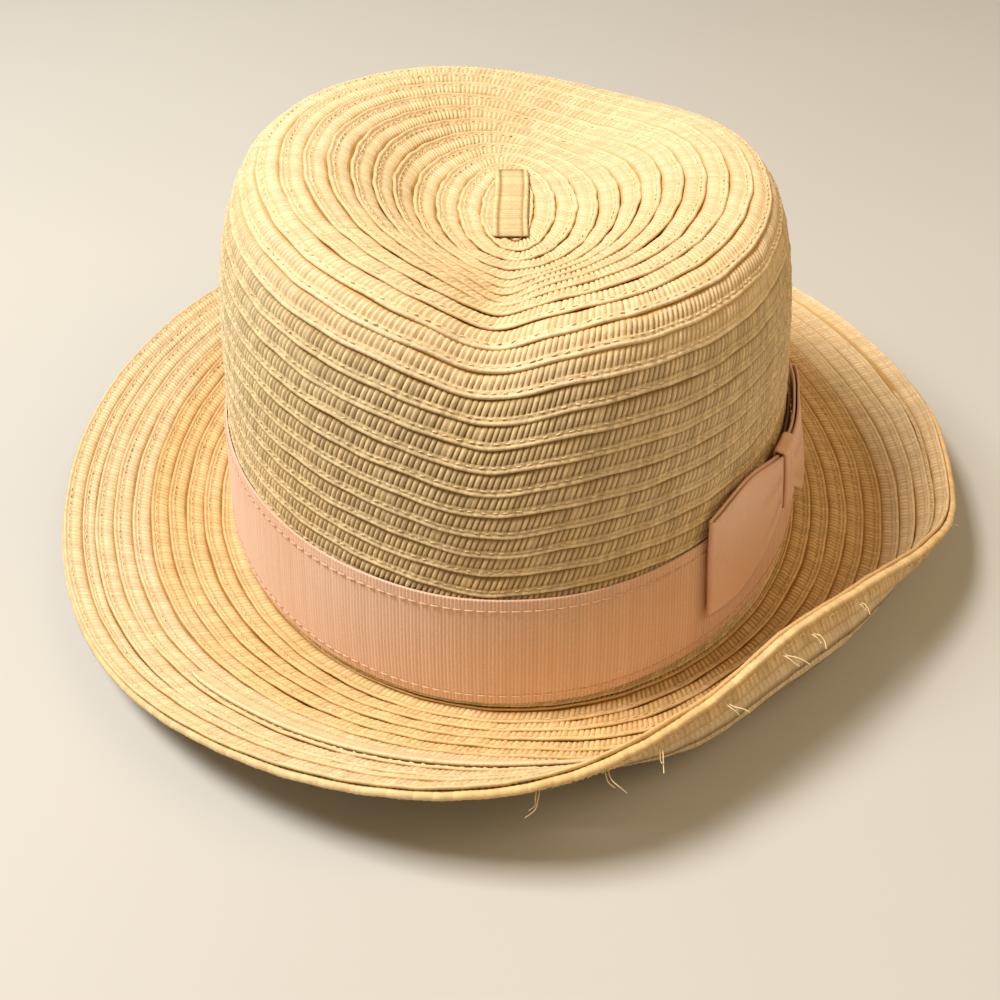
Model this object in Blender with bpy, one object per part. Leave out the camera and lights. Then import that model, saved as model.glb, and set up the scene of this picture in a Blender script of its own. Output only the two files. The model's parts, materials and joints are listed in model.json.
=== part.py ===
"""Braided straw hat with a ribbon band and a flat side bow, built piece by piece.

Sizes in this file are millimetres; MM turns them into metres when a mesh is made.
The hat stands crown up on the underside of its brim, with +Z up. Its front faces -Y and the bow is
on the +X side. Angles run round the hat in degrees, from the front (0) towards +X (90).
"""
import math

import bmesh
import bpy
from mathutils import Vector

MM = 0.001

# Clearances and thicknesses
GAP = 0.3                    # clearance kept between pieces that touch
STRAW = 1.8                  # sewn, lapped braid
BRAID = 1.0                  # one layer of braid
RIBBON = 0.6                 # grosgrain ribbon
THREAD = 0.5                 # sewing thread, laid on the surface

# Crown
HEAD_HALF_WIDTH = 86.0       # outside of the crown at its foot, across
HEAD_HALF_LENGTH = 101.0     # outside of the crown at its foot, front to back
CROWN_HEIGHT = 104.5         # mean height of the crown's rim
FRONT_RISE = 2.3             # how much higher the rim is at the front than on average
RIGHT_DROP = 0.9             # how much lower the rim is on the bow side than on average
TIP_DEPTH = 13.5             # how far the middle of the dished tip lies below the rim's mean height
TIP_FLAT = 20.0              # reach of the tip's flat middle
TIP_HOLE_SHARE = 0.02        # open middle of the tip, under the start of the spiral, as a share of the path
TIP_BOWL_REACH = 40.5        # where the tip starts to rise to the rim
TIP_BOWL_DEPTH = 6.0         # depth below the rim there
CREST_INSET = 29.5           # crest of the rim, inside the foot
CREST_RISE = -1.3            # height of its corner over the rim's height
SHOULDER_INSET = 15.0        # outside corner of the rim, inside the foot
SHOULDER_DROP = 2.9
NECK_INSET = 5.6             # wall just below the shoulder
NECK_DROP = 27.4
WALL_INSET = 2.5             # wall half way up
WALL_HEIGHT = 40.0
FOOT_STRAIGHT = 12.0         # upright foot of the wall
# Centre, half angle and drop of each dent in the rim; the two sides stand up
RIM_DENTS = ((-8, 18, 4.0), (-5, 9, 3.5), (150, 34, 5.5), (-90, 60, -6.2), (90, 60, -2.1))
SIDE_SQUEEZE = (75, 42, 4.0)                    # centre, half angle, inward push of the wall
RIM_SQUEEZE = (75, 42, 1.5)                     # centre, half angle, inward push of the rim above it
FRONT_PINCH = ((-10, 16, 2.5), (-5, 9, 2.5), (20, 14, -1.5))    # centre, half angle, inward push of the rim

# Brim
BRIM_WIDTH = 50.0            # from the crown's foot to the edge, along the surface
REST_LAND = 3.0              # flat ring under the crown's foot that the hat stands on
FOLD_START = 0.35            # share of the brim's width where the dish starts turning into the lip
FOLD_END = 0.85
# Angle round the hat, slope of the dish, slope of the lip
BRIM_SLOPES = (
    (0, 27, 42), (20, 14, 90), (35, 20, 104), (50, 12, 100), (62, 5, 78), (73, 3, 54), (85, 6, 52),
    (102, 6, 30), (125, 14, 12), (180, 22, 9), (240, 21, 10), (270, 16, 12), (300, 10, 13), (330, 22, 24),
)
EDGE_ROW_WIDTH = 6.5         # doubled row of braid under the edge
WIRE = 0.8                   # edge wire between the two layers
WIRE_INSET = 1.2

# Ends of clear thread that stand out under the edge: angle, length, sideways lean
THREAD_ENDS = (
    (2, 6, 3), (9, 5, -3), (15, 6, 2), (24, 5, -2),
    (33, 6, -2), (38, 5, 1), (47, 4, 2), (72, 4, -1),
)
THREAD_END = 0.5             # thickness of a doubled thread end

# Short row of braid that ends on the front of the brim
SHORT_ROW_ANGLES = (-44, 17)
SHORT_ROW_FROM_EDGE = 19.0
SHORT_ROW_WIDTH = 4.2
SHORT_ROW_LIFT = 2 * GAP     # clearance over the brim, which is faceted under it
SHORT_ROW_BLUNTNESS = 12     # higher makes its ends squarer
SHORT_ROW_TIP = 0.2          # width of its very ends, as a share of its width

# Start of the spiral on the tip
BUTTON_WIDTH = 9.5
BUTTON_LENGTH = 42.0
BUTTON_ROUNDING = 0.4        # of its upper edges, as a share of the braid's thickness

# Ribbon band
BAND_BOTTOM = 4.0
BAND_TOP = 38.0
BAND_RISE = (60, 42, 4.0)    # centre, half angle, lift of the band near the bow
STITCH_INSET = 3.0

# Bow
KNOT_ANGLE = 58.0
KNOT_WIDTH = 9.0
KNOT_HEIGHT = 18.0
KNOT_CENTRE = 41.0           # height of the knot's middle
LOOP_OPENING = 0.6           # space between a loop's two layers
FRONT_LOOP_END = 34.5        # angle of the fold at each loop's free end
BACK_LOOP_END = 89.0
FRONT_LOOP_EDGES = (19.0, 48.0)     # heights of the ribbon's edges at the fold
BACK_LOOP_EDGES = (12.0, 41.0)
LOOP_ARCH = 4.0              # how far a loop's upper edge arches between its fold and the knot
LOOP_HOLD = 2.0              # length of a loop that is held inside the knot
LOOP_FLARE = 0.8             # share of a loop over which it widens to the whole ribbon

# Inside
SWEATBAND = 0.8
SWEATBAND_BOTTOM = 0.8
SWEATBAND_TOP = 32.0
LABEL_ANGLE = 180.0
LABEL_WIDTH = 20.0
LABEL_HEIGHT = 20.0
LABEL = 0.5
LABEL_STANDOFF = 1.3

# Fineness of the meshes
SEGMENTS = 60
PATH_STEPS = 96
TIP_STEPS = 7
WALL_STEPS = 8
BRIM_STEPS = 10
LOOP_STEPS = 6
LOOP_FOLD_STEPS = 6
SHORT_ROW_STEPS = 14
SHARP_ANGLE = 40             # edges that fold more than this are drawn sharp, in degrees
TIP_SHARE = 0.45             # share of the crown's path, from its middle, that is the tip

CORE = HEAD_HALF_LENGTH - HEAD_HALF_WIDTH
TIP_HEIGHT = CROWN_HEIGHT - TIP_DEPTH
EDGE_ROW_DEPTH = BRAID + GAP + WIRE + GAP
BOW_STANDOFF = GAP + RIBBON + GAP + THREAD + GAP + RIBBON + GAP
FOOT = STRAW + GAP
AROUND = [360.0 * step / SEGMENTS for step in range(SEGMENTS)]


def hump(angle, centre, half_angle, amount):
    """A smooth local swelling around the hat, of a given amount at its centre."""
    away = (angle - centre + 180) % 360 - 180
    return amount * math.exp(-(away / half_angle) ** 2)


def along(points, share):
    """The point at a share of a polyline's length, and the unit direction there."""
    lengths = [(b - a).length for a, b in zip(points, points[1:])]
    left = share * sum(lengths)
    for a, b, length in zip(points, points[1:], lengths):
        if left <= length or b is points[-1]:
            return a.lerp(b, left / length), (b - a).normalized()
        left -= length


def rounded(corners, steps):
    """A smooth path that starts and ends at the end corners and rounds off every other one."""
    middles = [a.lerp(b, 0.5) for a, b in zip(corners, corners[1:])]
    middles[0], middles[-1] = corners[0], corners[-1]
    arc_steps = max(2, steps // (len(corners) - 2))
    path = [middles[0]]
    for start, corner, end in zip(middles, corners[1:-1], middles[1:]):
        for step in range(1, arc_steps + 1):
            t = step / arc_steps
            path.append(start.lerp(corner, t).lerp(corner.lerp(end, t), t))
    return path


def rim_height(angle):
    """Height of the crown's rim, with its front rise, its lean and its dents."""
    turn = math.radians(angle)
    height = CROWN_HEIGHT + FRONT_RISE * math.cos(turn) - RIGHT_DROP * math.sin(turn)
    return height - sum(hump(angle, *dent) for dent in RIM_DENTS)


def crown_path(angle):
    """Outside of the crown at one angle, from the middle of the tip to the foot of the wall."""
    rim = rim_height(angle)
    squeeze = hump(angle, *SIDE_SQUEEZE)
    pinch = hump(angle, *RIM_SQUEEZE) + sum(hump(angle, *dent) for dent in FRONT_PINCH)
    foot = HEAD_HALF_WIDTH
    corners = (
        (0.0, TIP_HEIGHT),
        (TIP_FLAT, TIP_HEIGHT),
        (TIP_BOWL_REACH - squeeze, rim - TIP_BOWL_DEPTH),
        (foot - CREST_INSET - pinch, rim + CREST_RISE),
        (foot - SHOULDER_INSET - pinch, rim - SHOULDER_DROP),
        (foot - NECK_INSET - squeeze, rim - NECK_DROP),
        (foot - WALL_INSET - squeeze, WALL_HEIGHT),
        (foot, FOOT + FOOT_STRAIGHT),
        (foot, FOOT),
    )
    return rounded([Vector(corner) for corner in corners], PATH_STEPS)


def brim_slope(angle, share):
    """Slope of the brim at a share of its width, in radians."""
    stations = [BRIM_SLOPES[-1]] + list(BRIM_SLOPES) + list(BRIM_SLOPES[:2])
    turns = [station[0] for station in stations]
    turns[0] -= 360
    turns[-2] += 360
    turns[-1] += 360
    index = max(i for i in range(1, len(turns) - 2) if turns[i] <= angle)
    blend = (angle - turns[index]) / (turns[index + 1] - turns[index])
    slopes = []
    for column in (1, 2):
        before, start, end, after = (stations[index + step][column] for step in (-1, 0, 1, 2))
        leave = (end - before) / (turns[index + 1] - turns[index - 1])
        arrive = (after - start) / (turns[index + 2] - turns[index])
        span = turns[index + 1] - turns[index]
        slopes.append(hermite(start, end, leave * span, arrive * span, blend))
    fold = min(1.0, max(0.0, (share - FOLD_START) / (FOLD_END - FOLD_START)))
    fold = fold * fold * (3 - 2 * fold)
    return math.radians(slopes[0] + (slopes[1] - slopes[0]) * fold)


def hermite(start, end, leave, arrive, t):
    """A cubic from start to end with the given slopes at its ends."""
    rise = end - start
    return start + t * (leave + t * (3 * rise - 2 * leave - arrive + t * (leave + arrive - 2 * rise)))


def brim_path(angle):
    """Upper side of the brim at one angle, from under the crown's wall to the edge."""
    point = Vector((HEAD_HALF_WIDTH + REST_LAND, STRAW))
    path = [Vector((HEAD_HALF_WIDTH - STRAW, STRAW)), point]
    free = BRIM_WIDTH - REST_LAND
    step = free / PATH_STEPS
    for index in range(PATH_STEPS):
        slope = brim_slope(angle, (REST_LAND + (index + 0.5) * step) / BRIM_WIDTH)
        point = point + step * Vector((math.cos(slope), math.sin(slope)))
        path.append(point)
    return path


def sunk(path, share, depth):
    """A point of a path, moved below the surface by a depth; a negative depth lifts it."""
    point, direction = along(path, share)
    return point + depth * Vector((direction.y, -direction.x))


CROWN_PATHS = {angle: crown_path(angle) for angle in AROUND}
BRIM_PATHS = {angle: brim_path(angle) for angle in AROUND}


def plan(angle, reach):
    """Plan position at an angle and a reach from the hat's middle line."""
    turn = math.radians(angle)
    return reach * math.sin(turn), -(reach + CORE) * math.cos(turn)


def box_middle():
    """Plan position of the middle of the edge row's bounding box, which is the model's origin."""
    edges = [plan(angle, sunk(BRIM_PATHS[angle], 1.0, EDGE_ROW_DEPTH + BRAID).x) for angle in AROUND]
    xs = [edge[0] for edge in edges]
    ys = [edge[1] for edge in edges]
    return (min(xs) + max(xs)) / 2, (min(ys) + max(ys)) / 2


ORIGIN_X, ORIGIN_Y = box_middle()


def place(angle, point):
    """Position in space, in millimetres, of a point (reach, height) at an angle."""
    x, y = plan(angle, point.x)
    return Vector((x - ORIGIN_X, y - ORIGIN_Y, point.y))


def wall_reach(angle, height):
    """Reach of the crown's outside at a height on its wall, measured on the faceted wall."""
    path = CROWN_PATHS.get(angle) or crown_path(angle)
    wall = path[len(path) // 2:]
    for upper, lower in zip(wall, wall[1:]):
        if lower.y <= height <= upper.y:
            share = (upper.y - height) / (upper.y - lower.y) if upper.y > lower.y else 0.0
            return upper.x + (lower.x - upper.x) * share
    return wall[-1].x


def material(name, colour, roughness):
    """A Principled material of one colour."""
    made = bpy.data.materials.new(name)
    made.use_nodes = True
    shader = made.node_tree.nodes["Principled BSDF"]
    shader.inputs["Base Color"].default_value = (*colour, 1)
    shader.inputs["Roughness"].default_value = roughness
    shader.inputs["Metallic"].default_value = 0.0
    made.diffuse_color = (*colour, 1)
    return made


def add_node(name, mesh_data, finish, origin=None):
    """Make a named object from a bmesh in millimetres, with its origin on a joint's axis."""
    origin = origin or Vector()
    bmesh.ops.recalc_face_normals(mesh_data, faces=mesh_data.faces)
    for vert in mesh_data.verts:
        vert.co = (vert.co - origin) * MM
    mesh = bpy.data.meshes.new(name)
    mesh_data.to_mesh(mesh)
    mesh_data.free()
    mesh.shade_smooth()
    mesh.set_sharp_from_angle(angle=math.radians(SHARP_ANGLE))
    mesh.materials.append(finish)
    node = bpy.data.objects.new(name, mesh)
    node.location = origin * MM
    bpy.context.scene.collection.objects.link(node)
    return node


def bridge(mesh_data, first, second, closed=True):
    """Faces between two rows of vertices of the same length."""
    count = len(first) if closed else len(first) - 1
    for index in range(count):
        after = (index + 1) % len(first)
        mesh_data.faces.new((first[index], first[after], second[after], second[index]))


def skin(rings, joined):
    """A closed body through rings of points; joined makes it a loop, otherwise its ends are capped."""
    mesh_data = bmesh.new()
    rows = [[mesh_data.verts.new(point) for point in ring] for ring in rings]
    for first, second in zip(rows, rows[1:]):
        bridge(mesh_data, first, second)
    if joined:
        bridge(mesh_data, rows[-1], rows[0])
    else:
        mesh_data.faces.new(rows[0])
        mesh_data.faces.new(rows[-1])
    return mesh_data


def surface_rings(paths, shares, depth):
    """Rings around the hat at shares of its paths, sunk by a depth, or by depth(share)."""
    rings = []
    for share in shares:
        sink = depth(share) if callable(depth) else depth
        rings.append([place(angle, sunk(paths[angle], share, sink)) for angle in AROUND])
    return rings


def shares_between(start, end, steps):
    """Evenly spaced shares from start to end."""
    return [start + (end - start) * step / steps for step in range(steps + 1)]


def seam_share():
    """Half the clearance at the seam between tip and wall, as a share of the crown's path."""
    path = CROWN_PATHS[AROUND[0]]
    return 0.5 * GAP / sum((b - a).length for a, b in zip(path, path[1:]))


def make_crown_tip(straw):
    """Dished top of the crown, out to the seam just inside the shoulder."""
    shares = shares_between(TIP_HOLE_SHARE, TIP_SHARE - seam_share(), TIP_STEPS)
    upper = surface_rings(CROWN_PATHS, shares, 0.0)
    lower = surface_rings(CROWN_PATHS, shares, STRAW)
    add_node("crown_tip", skin(upper + lower[::-1], joined=False), straw)


def make_crown_side(straw):
    """Shoulder and wall of the crown, down to its foot on the brim."""
    shares = shares_between(TIP_SHARE + seam_share(), 1.0, WALL_STEPS)
    upper = surface_rings(CROWN_PATHS, shares, 0.0)
    lower = surface_rings(CROWN_PATHS, shares, STRAW)
    add_node("crown_side", skin(upper + lower[::-1], joined=True), straw)


def make_crown_button(straw):
    """Short folded length of braid, laid flat, that the spiral starts from."""
    low = TIP_HEIGHT + 2 * GAP
    mesh_data = bmesh.new()
    bmesh.ops.create_cube(mesh_data, size=1.0)
    for vert in mesh_data.verts:
        x = vert.co.x * BUTTON_WIDTH
        y = vert.co.y * BUTTON_LENGTH
        vert.co = (x - ORIGIN_X, y - ORIGIN_Y, low + (vert.co.z + 0.5) * BRAID)
    top = [edge for edge in mesh_data.edges if all(vert.co.z > low + 0.5 * BRAID for vert in edge.verts)]
    bmesh.ops.bevel(mesh_data, geom=top, offset=BUTTON_ROUNDING * BRAID, segments=2, affect="EDGES")
    add_node("crown_button", mesh_data, straw)


def brim_share(angle, from_edge):
    """Share of the brim's path at a distance in from its edge."""
    path = BRIM_PATHS.get(angle) or brim_path(angle)
    return 1.0 - from_edge / sum((b - a).length for a, b in zip(path, path[1:]))


def make_brim(straw):
    """Dish and lip of the brim; under the edge it is one layer, to make room for wire and edge row."""
    land = (REST_LAND + STRAW) / (BRIM_WIDTH + STRAW)
    single = brim_share(0, EDGE_ROW_WIDTH + GAP)
    lapped = brim_share(0, EDGE_ROW_WIDTH + 2 * GAP + STRAW)
    upper_shares = [0.0, land] + shares_between(land, 1.0, BRIM_STEPS)[1:]
    lower_shares = [0.0, land] + shares_between(land, lapped, BRIM_STEPS - 2)[1:] + [single, 1.0]
    upper = surface_rings(BRIM_PATHS, upper_shares, 0.0)
    lower = surface_rings(BRIM_PATHS, lower_shares, lambda share: BRAID if share >= single else STRAW)
    add_node("brim", skin(upper + lower[::-1], joined=True), straw)


def make_brim_edge_row(straw):
    """Second layer of braid, sewn under the edge all the way round."""
    shares = [brim_share(0, EDGE_ROW_WIDTH), brim_share(0, EDGE_ROW_WIDTH / 2), 1.0]
    upper = surface_rings(BRIM_PATHS, shares, EDGE_ROW_DEPTH)
    lower = surface_rings(BRIM_PATHS, shares, EDGE_ROW_DEPTH + BRAID)
    add_node("brim_edge_row", skin(upper + lower[::-1], joined=True), straw)


def make_brim_wire(steel):
    """Wire between the two layers of the edge."""
    middle = brim_share(0, WIRE_INSET)
    half = WIRE / 2 / (BRIM_WIDTH + STRAW)
    depth = BRAID + GAP + WIRE / 2
    top, bottom = depth - WIRE / 2, depth + WIRE / 2
    corners = ((middle - half, depth), (middle, top), (middle + half, depth), (middle, bottom))
    rings = [surface_rings(BRIM_PATHS, [share], sink)[0] for share, sink in corners]
    add_node("brim_wire", skin(rings, joined=True), steel)


def make_thread_ends(thread):
    """Ends of the sewing thread that stand out below the edge row, each a short bent strand."""
    share = brim_share(0, EDGE_ROW_WIDTH / 2)
    depth = EDGE_ROW_DEPTH + BRAID + GAP
    for number, (angle, length, lean) in enumerate(THREAD_ENDS, start=1):
        path = brim_path(angle)
        foot, inward = sunk(path, share, depth), along(path, share)[1]
        start = place(angle, foot)
        down = (place(angle, sunk(path, share, depth + 1)) - start).normalized()
        out = (place(angle, foot + inward) - start).normalized()
        side = down.cross(out)
        bend = start + down * length / 2
        end = bend + (down * length / 2 + side * lean)
        half = THREAD_END / 2
        rings = [[point + side * x * half + out * y * half for x, y in ((-1, -1), (1, -1), (1, 1), (-1, 1))]
                 for point in (start, bend, end)]
        add_node(f"edge_thread_{number}", skin(rings, joined=False), thread)


def make_brim_short_row(straw):
    """Short row of braid on the front of the brim, with rounded ends."""
    start, end = SHORT_ROW_ANGLES
    steps = SHORT_ROW_STEPS
    low, high = -SHORT_ROW_LIFT, -(SHORT_ROW_LIFT + BRAID)
    inner = SHORT_ROW_FROM_EDGE + SHORT_ROW_WIDTH / 2
    sections = []
    for step in range(steps + 1):
        angle = start + (end - start) * step / steps
        path = brim_path(angle % 360)
        taper = math.sqrt(max(SHORT_ROW_TIP ** 2, 1 - abs(2 * step / steps - 1) ** SHORT_ROW_BLUNTNESS))
        half = taper * SHORT_ROW_WIDTH / 2
        section = []
        for from_edge, depth in ((inner - half, low), (inner + half, low),
                                 (inner + half, high), (inner - half, high)):
            share = brim_share(angle % 360, from_edge)
            section.append(place(angle, sunk(path, share, depth)))
        sections.append(section)
    add_node("brim_short_row", skin(sections, joined=False), straw)


def band_edges(angle, inset=0.0):
    """Heights of the ribbon band's lower and upper edges at an angle."""
    rise = hump(angle, *BAND_RISE)
    return BAND_BOTTOM + rise + inset, BAND_TOP + rise - inset


def wall_ring(heights, offset):
    """A ring around the wall at a height for each angle, at an offset outside the straw."""
    ring = []
    for angle, height in zip(AROUND, heights):
        ring.append(place(angle, Vector((wall_reach(angle, height) + offset, height))))
    return ring


def wall_strip(low, high, inner, outer, steps=2):
    """Closed strip around the wall from height low(angle) to high(angle), inner to outer offset."""
    shares = shares_between(0.0, 1.0, steps)
    levels = [[low(angle) + (high(angle) - low(angle)) * share for angle in AROUND] for share in shares]
    outside = [wall_ring(level, outer) for level in levels]
    inside = [wall_ring(level, inner) for level in levels]
    return skin(outside + inside[::-1], joined=True)


def make_hat_band(ribbon):
    """Ribbon around the foot of the crown."""
    strip = wall_strip(lambda angle: band_edges(angle)[0], lambda angle: band_edges(angle)[1],
                       GAP, GAP + RIBBON, steps=3)
    add_node("hat_band", strip, ribbon)


def make_band_stitches(thread):
    """Rows of stitching that hold the ribbon, just inside its two edges."""
    inner = 2 * GAP + RIBBON
    for name, edge, side in (("band_stitch_lower", 0, 1), ("band_stitch_upper", 1, -1)):
        strip = wall_strip(lambda angle: band_edges(angle, STITCH_INSET)[edge] - THREAD / 2,
                           lambda angle: band_edges(angle, STITCH_INSET)[edge] + THREAD / 2,
                           inner, inner + THREAD, steps=1)
        add_node(name, strip, thread)


def bow_point(angle, offset, height):
    """Position of a point of the bow, at an offset outside the wall's straw."""
    return place(angle, Vector((wall_reach(angle, height) + offset, height)))


def ribbon_sweep(stations, thickness):
    """A strip of ribbon through stations (angle, offset, low, high), capped at both ends."""
    edges = [[bow_point(angle, offset, low) for angle, offset, low, high in stations],
             [bow_point(angle, offset, high) for angle, offset, low, high in stations]]
    sections = []
    for index in range(len(stations)):
        corners = []
        for edge in edges:
            run = edge[min(index + 1, len(edge) - 1)] - edge[max(index - 1, 0)]
            side = Vector((run.y, -run.x, 0.0)).normalized() * thickness / 2
            corners.append((edge[index] - side, edge[index] + side))
        (low_in, low_out), (high_in, high_out) = corners
        sections.append([low_in, low_out, high_out, high_in])
    return skin(sections, joined=False)


def bow_offsets():
    """Offsets of a loop's back and front layers and of its fold, outside the straw."""
    back = BOW_STANDOFF + GAP + RIBBON / 2
    front = back + RIBBON + LOOP_OPENING
    return back, front, (front - back) / 2


def arc_angle(length, angle=KNOT_ANGLE):
    """Angle round the hat that a length of the bow takes up."""
    reach = wall_reach(angle, KNOT_CENTRE) + BOW_STANDOFF
    turn = math.radians(angle)
    speed = math.hypot(reach * math.cos(turn), (reach + CORE) * math.sin(turn))
    return math.degrees(length / speed)


def loop_stations(free_end, edges, knot_side):
    """Stations of one loop: back layer from the knot to the fold, then the front layer back again."""
    back, front, radius = bow_offsets()
    bottom, top = edges
    direction = -knot_side
    tuck = KNOT_ANGLE + direction * arc_angle(KNOT_WIDTH / 2 - LOOP_HOLD)
    mouth = KNOT_ANGLE + direction * arc_angle(KNOT_WIDTH / 2 + GAP)
    bend = arc_angle(radius, free_end)
    last = free_end - direction * bend
    start_low = KNOT_CENTRE - KNOT_HEIGHT / 2 + RIBBON + 2 * GAP
    start_high = KNOT_CENTRE + KNOT_HEIGHT / 2 - RIBBON - 2 * GAP
    layer = [(tuck, start_low, start_high)]
    for share in shares_between(0.0, 1.0, LOOP_STEPS):
        flare = math.sin(min(1.0, share / LOOP_FLARE) * math.pi / 2)
        arch = LOOP_ARCH * math.sin(math.pi * share)
        layer.append((mouth + (last - mouth) * share, start_low + (bottom - start_low) * flare,
                      start_high + (top - start_high) * flare + arch))
    stations = [(angle, back, low, high) for angle, low, high in layer]
    for step in range(1, LOOP_FOLD_STEPS):
        turn = math.pi * step / LOOP_FOLD_STEPS
        angle = layer[-1][0] + direction * bend * math.sin(turn)
        stations.append((angle, back + radius * (1 - math.cos(turn)), bottom, top))
    stations += [(angle, front, low, high) for angle, low, high in layer[::-1]]
    return stations


def bow_axis(angle):
    """A point on the upright axis that a loop lifts about, at the knot."""
    back, front, radius = bow_offsets()
    return bow_point(angle, back + radius, KNOT_CENTRE)


def make_bow(ribbon):
    """Two flat loops of ribbon, held in the middle by a knot that wraps round them."""
    loops = (("bow_front_loop", FRONT_LOOP_END, FRONT_LOOP_EDGES, 1),
             ("bow_back_loop", BACK_LOOP_END, BACK_LOOP_EDGES, -1))
    for name, free_end, edges, knot_side in loops:
        origin = bow_axis(KNOT_ANGLE - knot_side * arc_angle((KNOT_WIDTH - LOOP_HOLD) / 2))
        add_node(name, ribbon_sweep(loop_stations(free_end, edges, knot_side), RIBBON), ribbon, origin)
    make_bow_knot(ribbon)


def make_bow_knot(ribbon):
    """Narrow ribbon wrapped round the pinched middle of the bow, over and under its loops."""
    back, front, radius = bow_offsets()
    inner = BOW_STANDOFF - RIBBON - GAP
    outer = front + RIBBON / 2 + 2 * GAP
    low = KNOT_CENTRE - KNOT_HEIGHT / 2
    high = KNOT_CENTRE + KNOT_HEIGHT / 2
    half = arc_angle(KNOT_WIDTH / 2)
    outside = ((inner, low), (outer + RIBBON, low), (outer + RIBBON, high), (inner, high))
    inside = ((inner + RIBBON, low + RIBBON), (outer, low + RIBBON),
              (outer, high - RIBBON), (inner + RIBBON, high - RIBBON))
    mesh_data = bmesh.new()
    loops = []
    for angle in (KNOT_ANGLE - half, KNOT_ANGLE, KNOT_ANGLE + half):
        for outline in (outside, inside):
            loops.append([mesh_data.verts.new(bow_point(angle, *corner)) for corner in outline])
    for first, second in ((0, 2), (2, 4), (1, 3), (3, 5), (0, 1), (4, 5)):
        bridge(mesh_data, loops[first], loops[second])
    corners = [edge for edge in mesh_data.edges
               if any(edge.verts[0] in loop and edge.verts[1] in other
                      for loop, other in ((loops[0], loops[2]), (loops[2], loops[4])))]
    bmesh.ops.bevel(mesh_data, geom=corners, offset=RIBBON, segments=2, affect="EDGES")
    add_node("bow_knot", mesh_data, ribbon)


def make_sweatband(cotton, thread):
    """Inner band against the head, and the stitching along its lower edge."""
    outer = -(STRAW + GAP)
    inner = outer - SWEATBAND
    add_node("sweatband", wall_strip(lambda angle: SWEATBAND_BOTTOM, lambda angle: SWEATBAND_TOP,
                                     inner, outer, steps=3), cotton)
    middle = SWEATBAND_BOTTOM + STITCH_INSET
    stitch = wall_strip(lambda angle: middle - THREAD / 2, lambda angle: middle + THREAD / 2,
                        inner - GAP - THREAD, inner - GAP, steps=1)
    add_node("sweatband_stitch", stitch, thread)


def make_care_label(cotton):
    """Blank label that hangs from the sweatband's upper edge at the back."""
    reach = wall_reach(LABEL_ANGLE, SWEATBAND_TOP) - STRAW - GAP - SWEATBAND - LABEL_STANDOFF - LABEL / 2
    hinge = place(LABEL_ANGLE, Vector((reach, SWEATBAND_TOP)))
    mesh_data = bmesh.new()
    bmesh.ops.create_cube(mesh_data, size=1.0)
    for vert in mesh_data.verts:
        x, y, z = vert.co
        vert.co = hinge + Vector((x * LABEL_WIDTH, y * LABEL, (z - 0.5) * LABEL_HEIGHT))
    add_node("care_label", mesh_data, cotton, hinge)


def main():
    """Build every piece of the hat."""
    for old in list(bpy.data.objects):
        bpy.data.objects.remove(old, do_unlink=True)
    straw = material("straw", (0.80, 0.66, 0.42), 0.7)
    ribbon = material("ribbon", (0.78, 0.44, 0.33), 0.6)
    thread = material("thread", (0.86, 0.80, 0.66), 0.5)
    cotton = material("cotton", (0.82, 0.76, 0.66), 0.85)
    steel = material("steel", (0.55, 0.55, 0.56), 0.4)
    make_crown_tip(straw)
    make_crown_side(straw)
    make_crown_button(straw)
    make_brim(straw)
    make_brim_edge_row(straw)
    make_brim_wire(steel)
    make_thread_ends(thread)
    make_brim_short_row(straw)
    make_hat_band(ribbon)
    make_band_stitches(thread)
    make_bow(ribbon)
    make_sweatband(cotton, thread)
    make_care_label(cotton)


main()
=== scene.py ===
"""A sewn straw-braid hat with a ribbon band and a flat side bow.

Every length in the classes is in millimetres, and MM turns it into metres when a mesh is made. The hat
stands crown up with its front towards -Y and its bow on the +X side. Angles run round it in degrees,
from the front (0) towards +X (90). A share runs along a meridian, from the middle or root to the edge.
"""

import json
import logging
import math
from dataclasses import dataclass, field
from enum import Enum
from typing import Optional, Sequence

import bpy
import numpy as np
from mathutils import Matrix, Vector


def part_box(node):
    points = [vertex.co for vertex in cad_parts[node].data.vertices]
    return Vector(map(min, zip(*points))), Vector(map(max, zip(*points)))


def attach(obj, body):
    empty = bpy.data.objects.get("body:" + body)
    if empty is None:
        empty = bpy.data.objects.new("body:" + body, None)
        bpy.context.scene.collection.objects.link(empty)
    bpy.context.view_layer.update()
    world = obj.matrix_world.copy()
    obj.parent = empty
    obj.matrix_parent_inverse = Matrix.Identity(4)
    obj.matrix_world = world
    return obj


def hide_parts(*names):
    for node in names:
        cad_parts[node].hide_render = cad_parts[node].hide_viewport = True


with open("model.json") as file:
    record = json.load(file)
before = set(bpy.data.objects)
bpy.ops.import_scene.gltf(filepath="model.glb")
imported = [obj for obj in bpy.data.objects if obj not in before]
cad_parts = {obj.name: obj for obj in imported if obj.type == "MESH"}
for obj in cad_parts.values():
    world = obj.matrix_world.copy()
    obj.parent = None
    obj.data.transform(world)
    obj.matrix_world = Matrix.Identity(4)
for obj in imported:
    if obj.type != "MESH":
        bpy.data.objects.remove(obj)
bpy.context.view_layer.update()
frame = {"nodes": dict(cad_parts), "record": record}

MM = 0.001
LOG = logging.getLogger("hat")
STITCH_POINTS = 16           # four stations of four corners
RIBBON_WAVES = (45.0, 24.0, 72.0, 120.0)    # lengths of the band's waver, in degrees

Array = np.ndarray


class Slot(Enum):
    """Material slots of the part."""

    STRAW = "straw"
    RIBBON = "ribbon"
    THREAD = "thread"
    COTTON = "cotton"
    STEEL = "steel"


class Body(Enum):
    """Bodies that the pieces ride on."""

    HAT = "hat"
    FRONT_LOOP = "front_loop"
    BACK_LOOP = "back_loop"
    LABEL = "label"


# ---------------------------------------------------------------------------------------- small helpers


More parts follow.
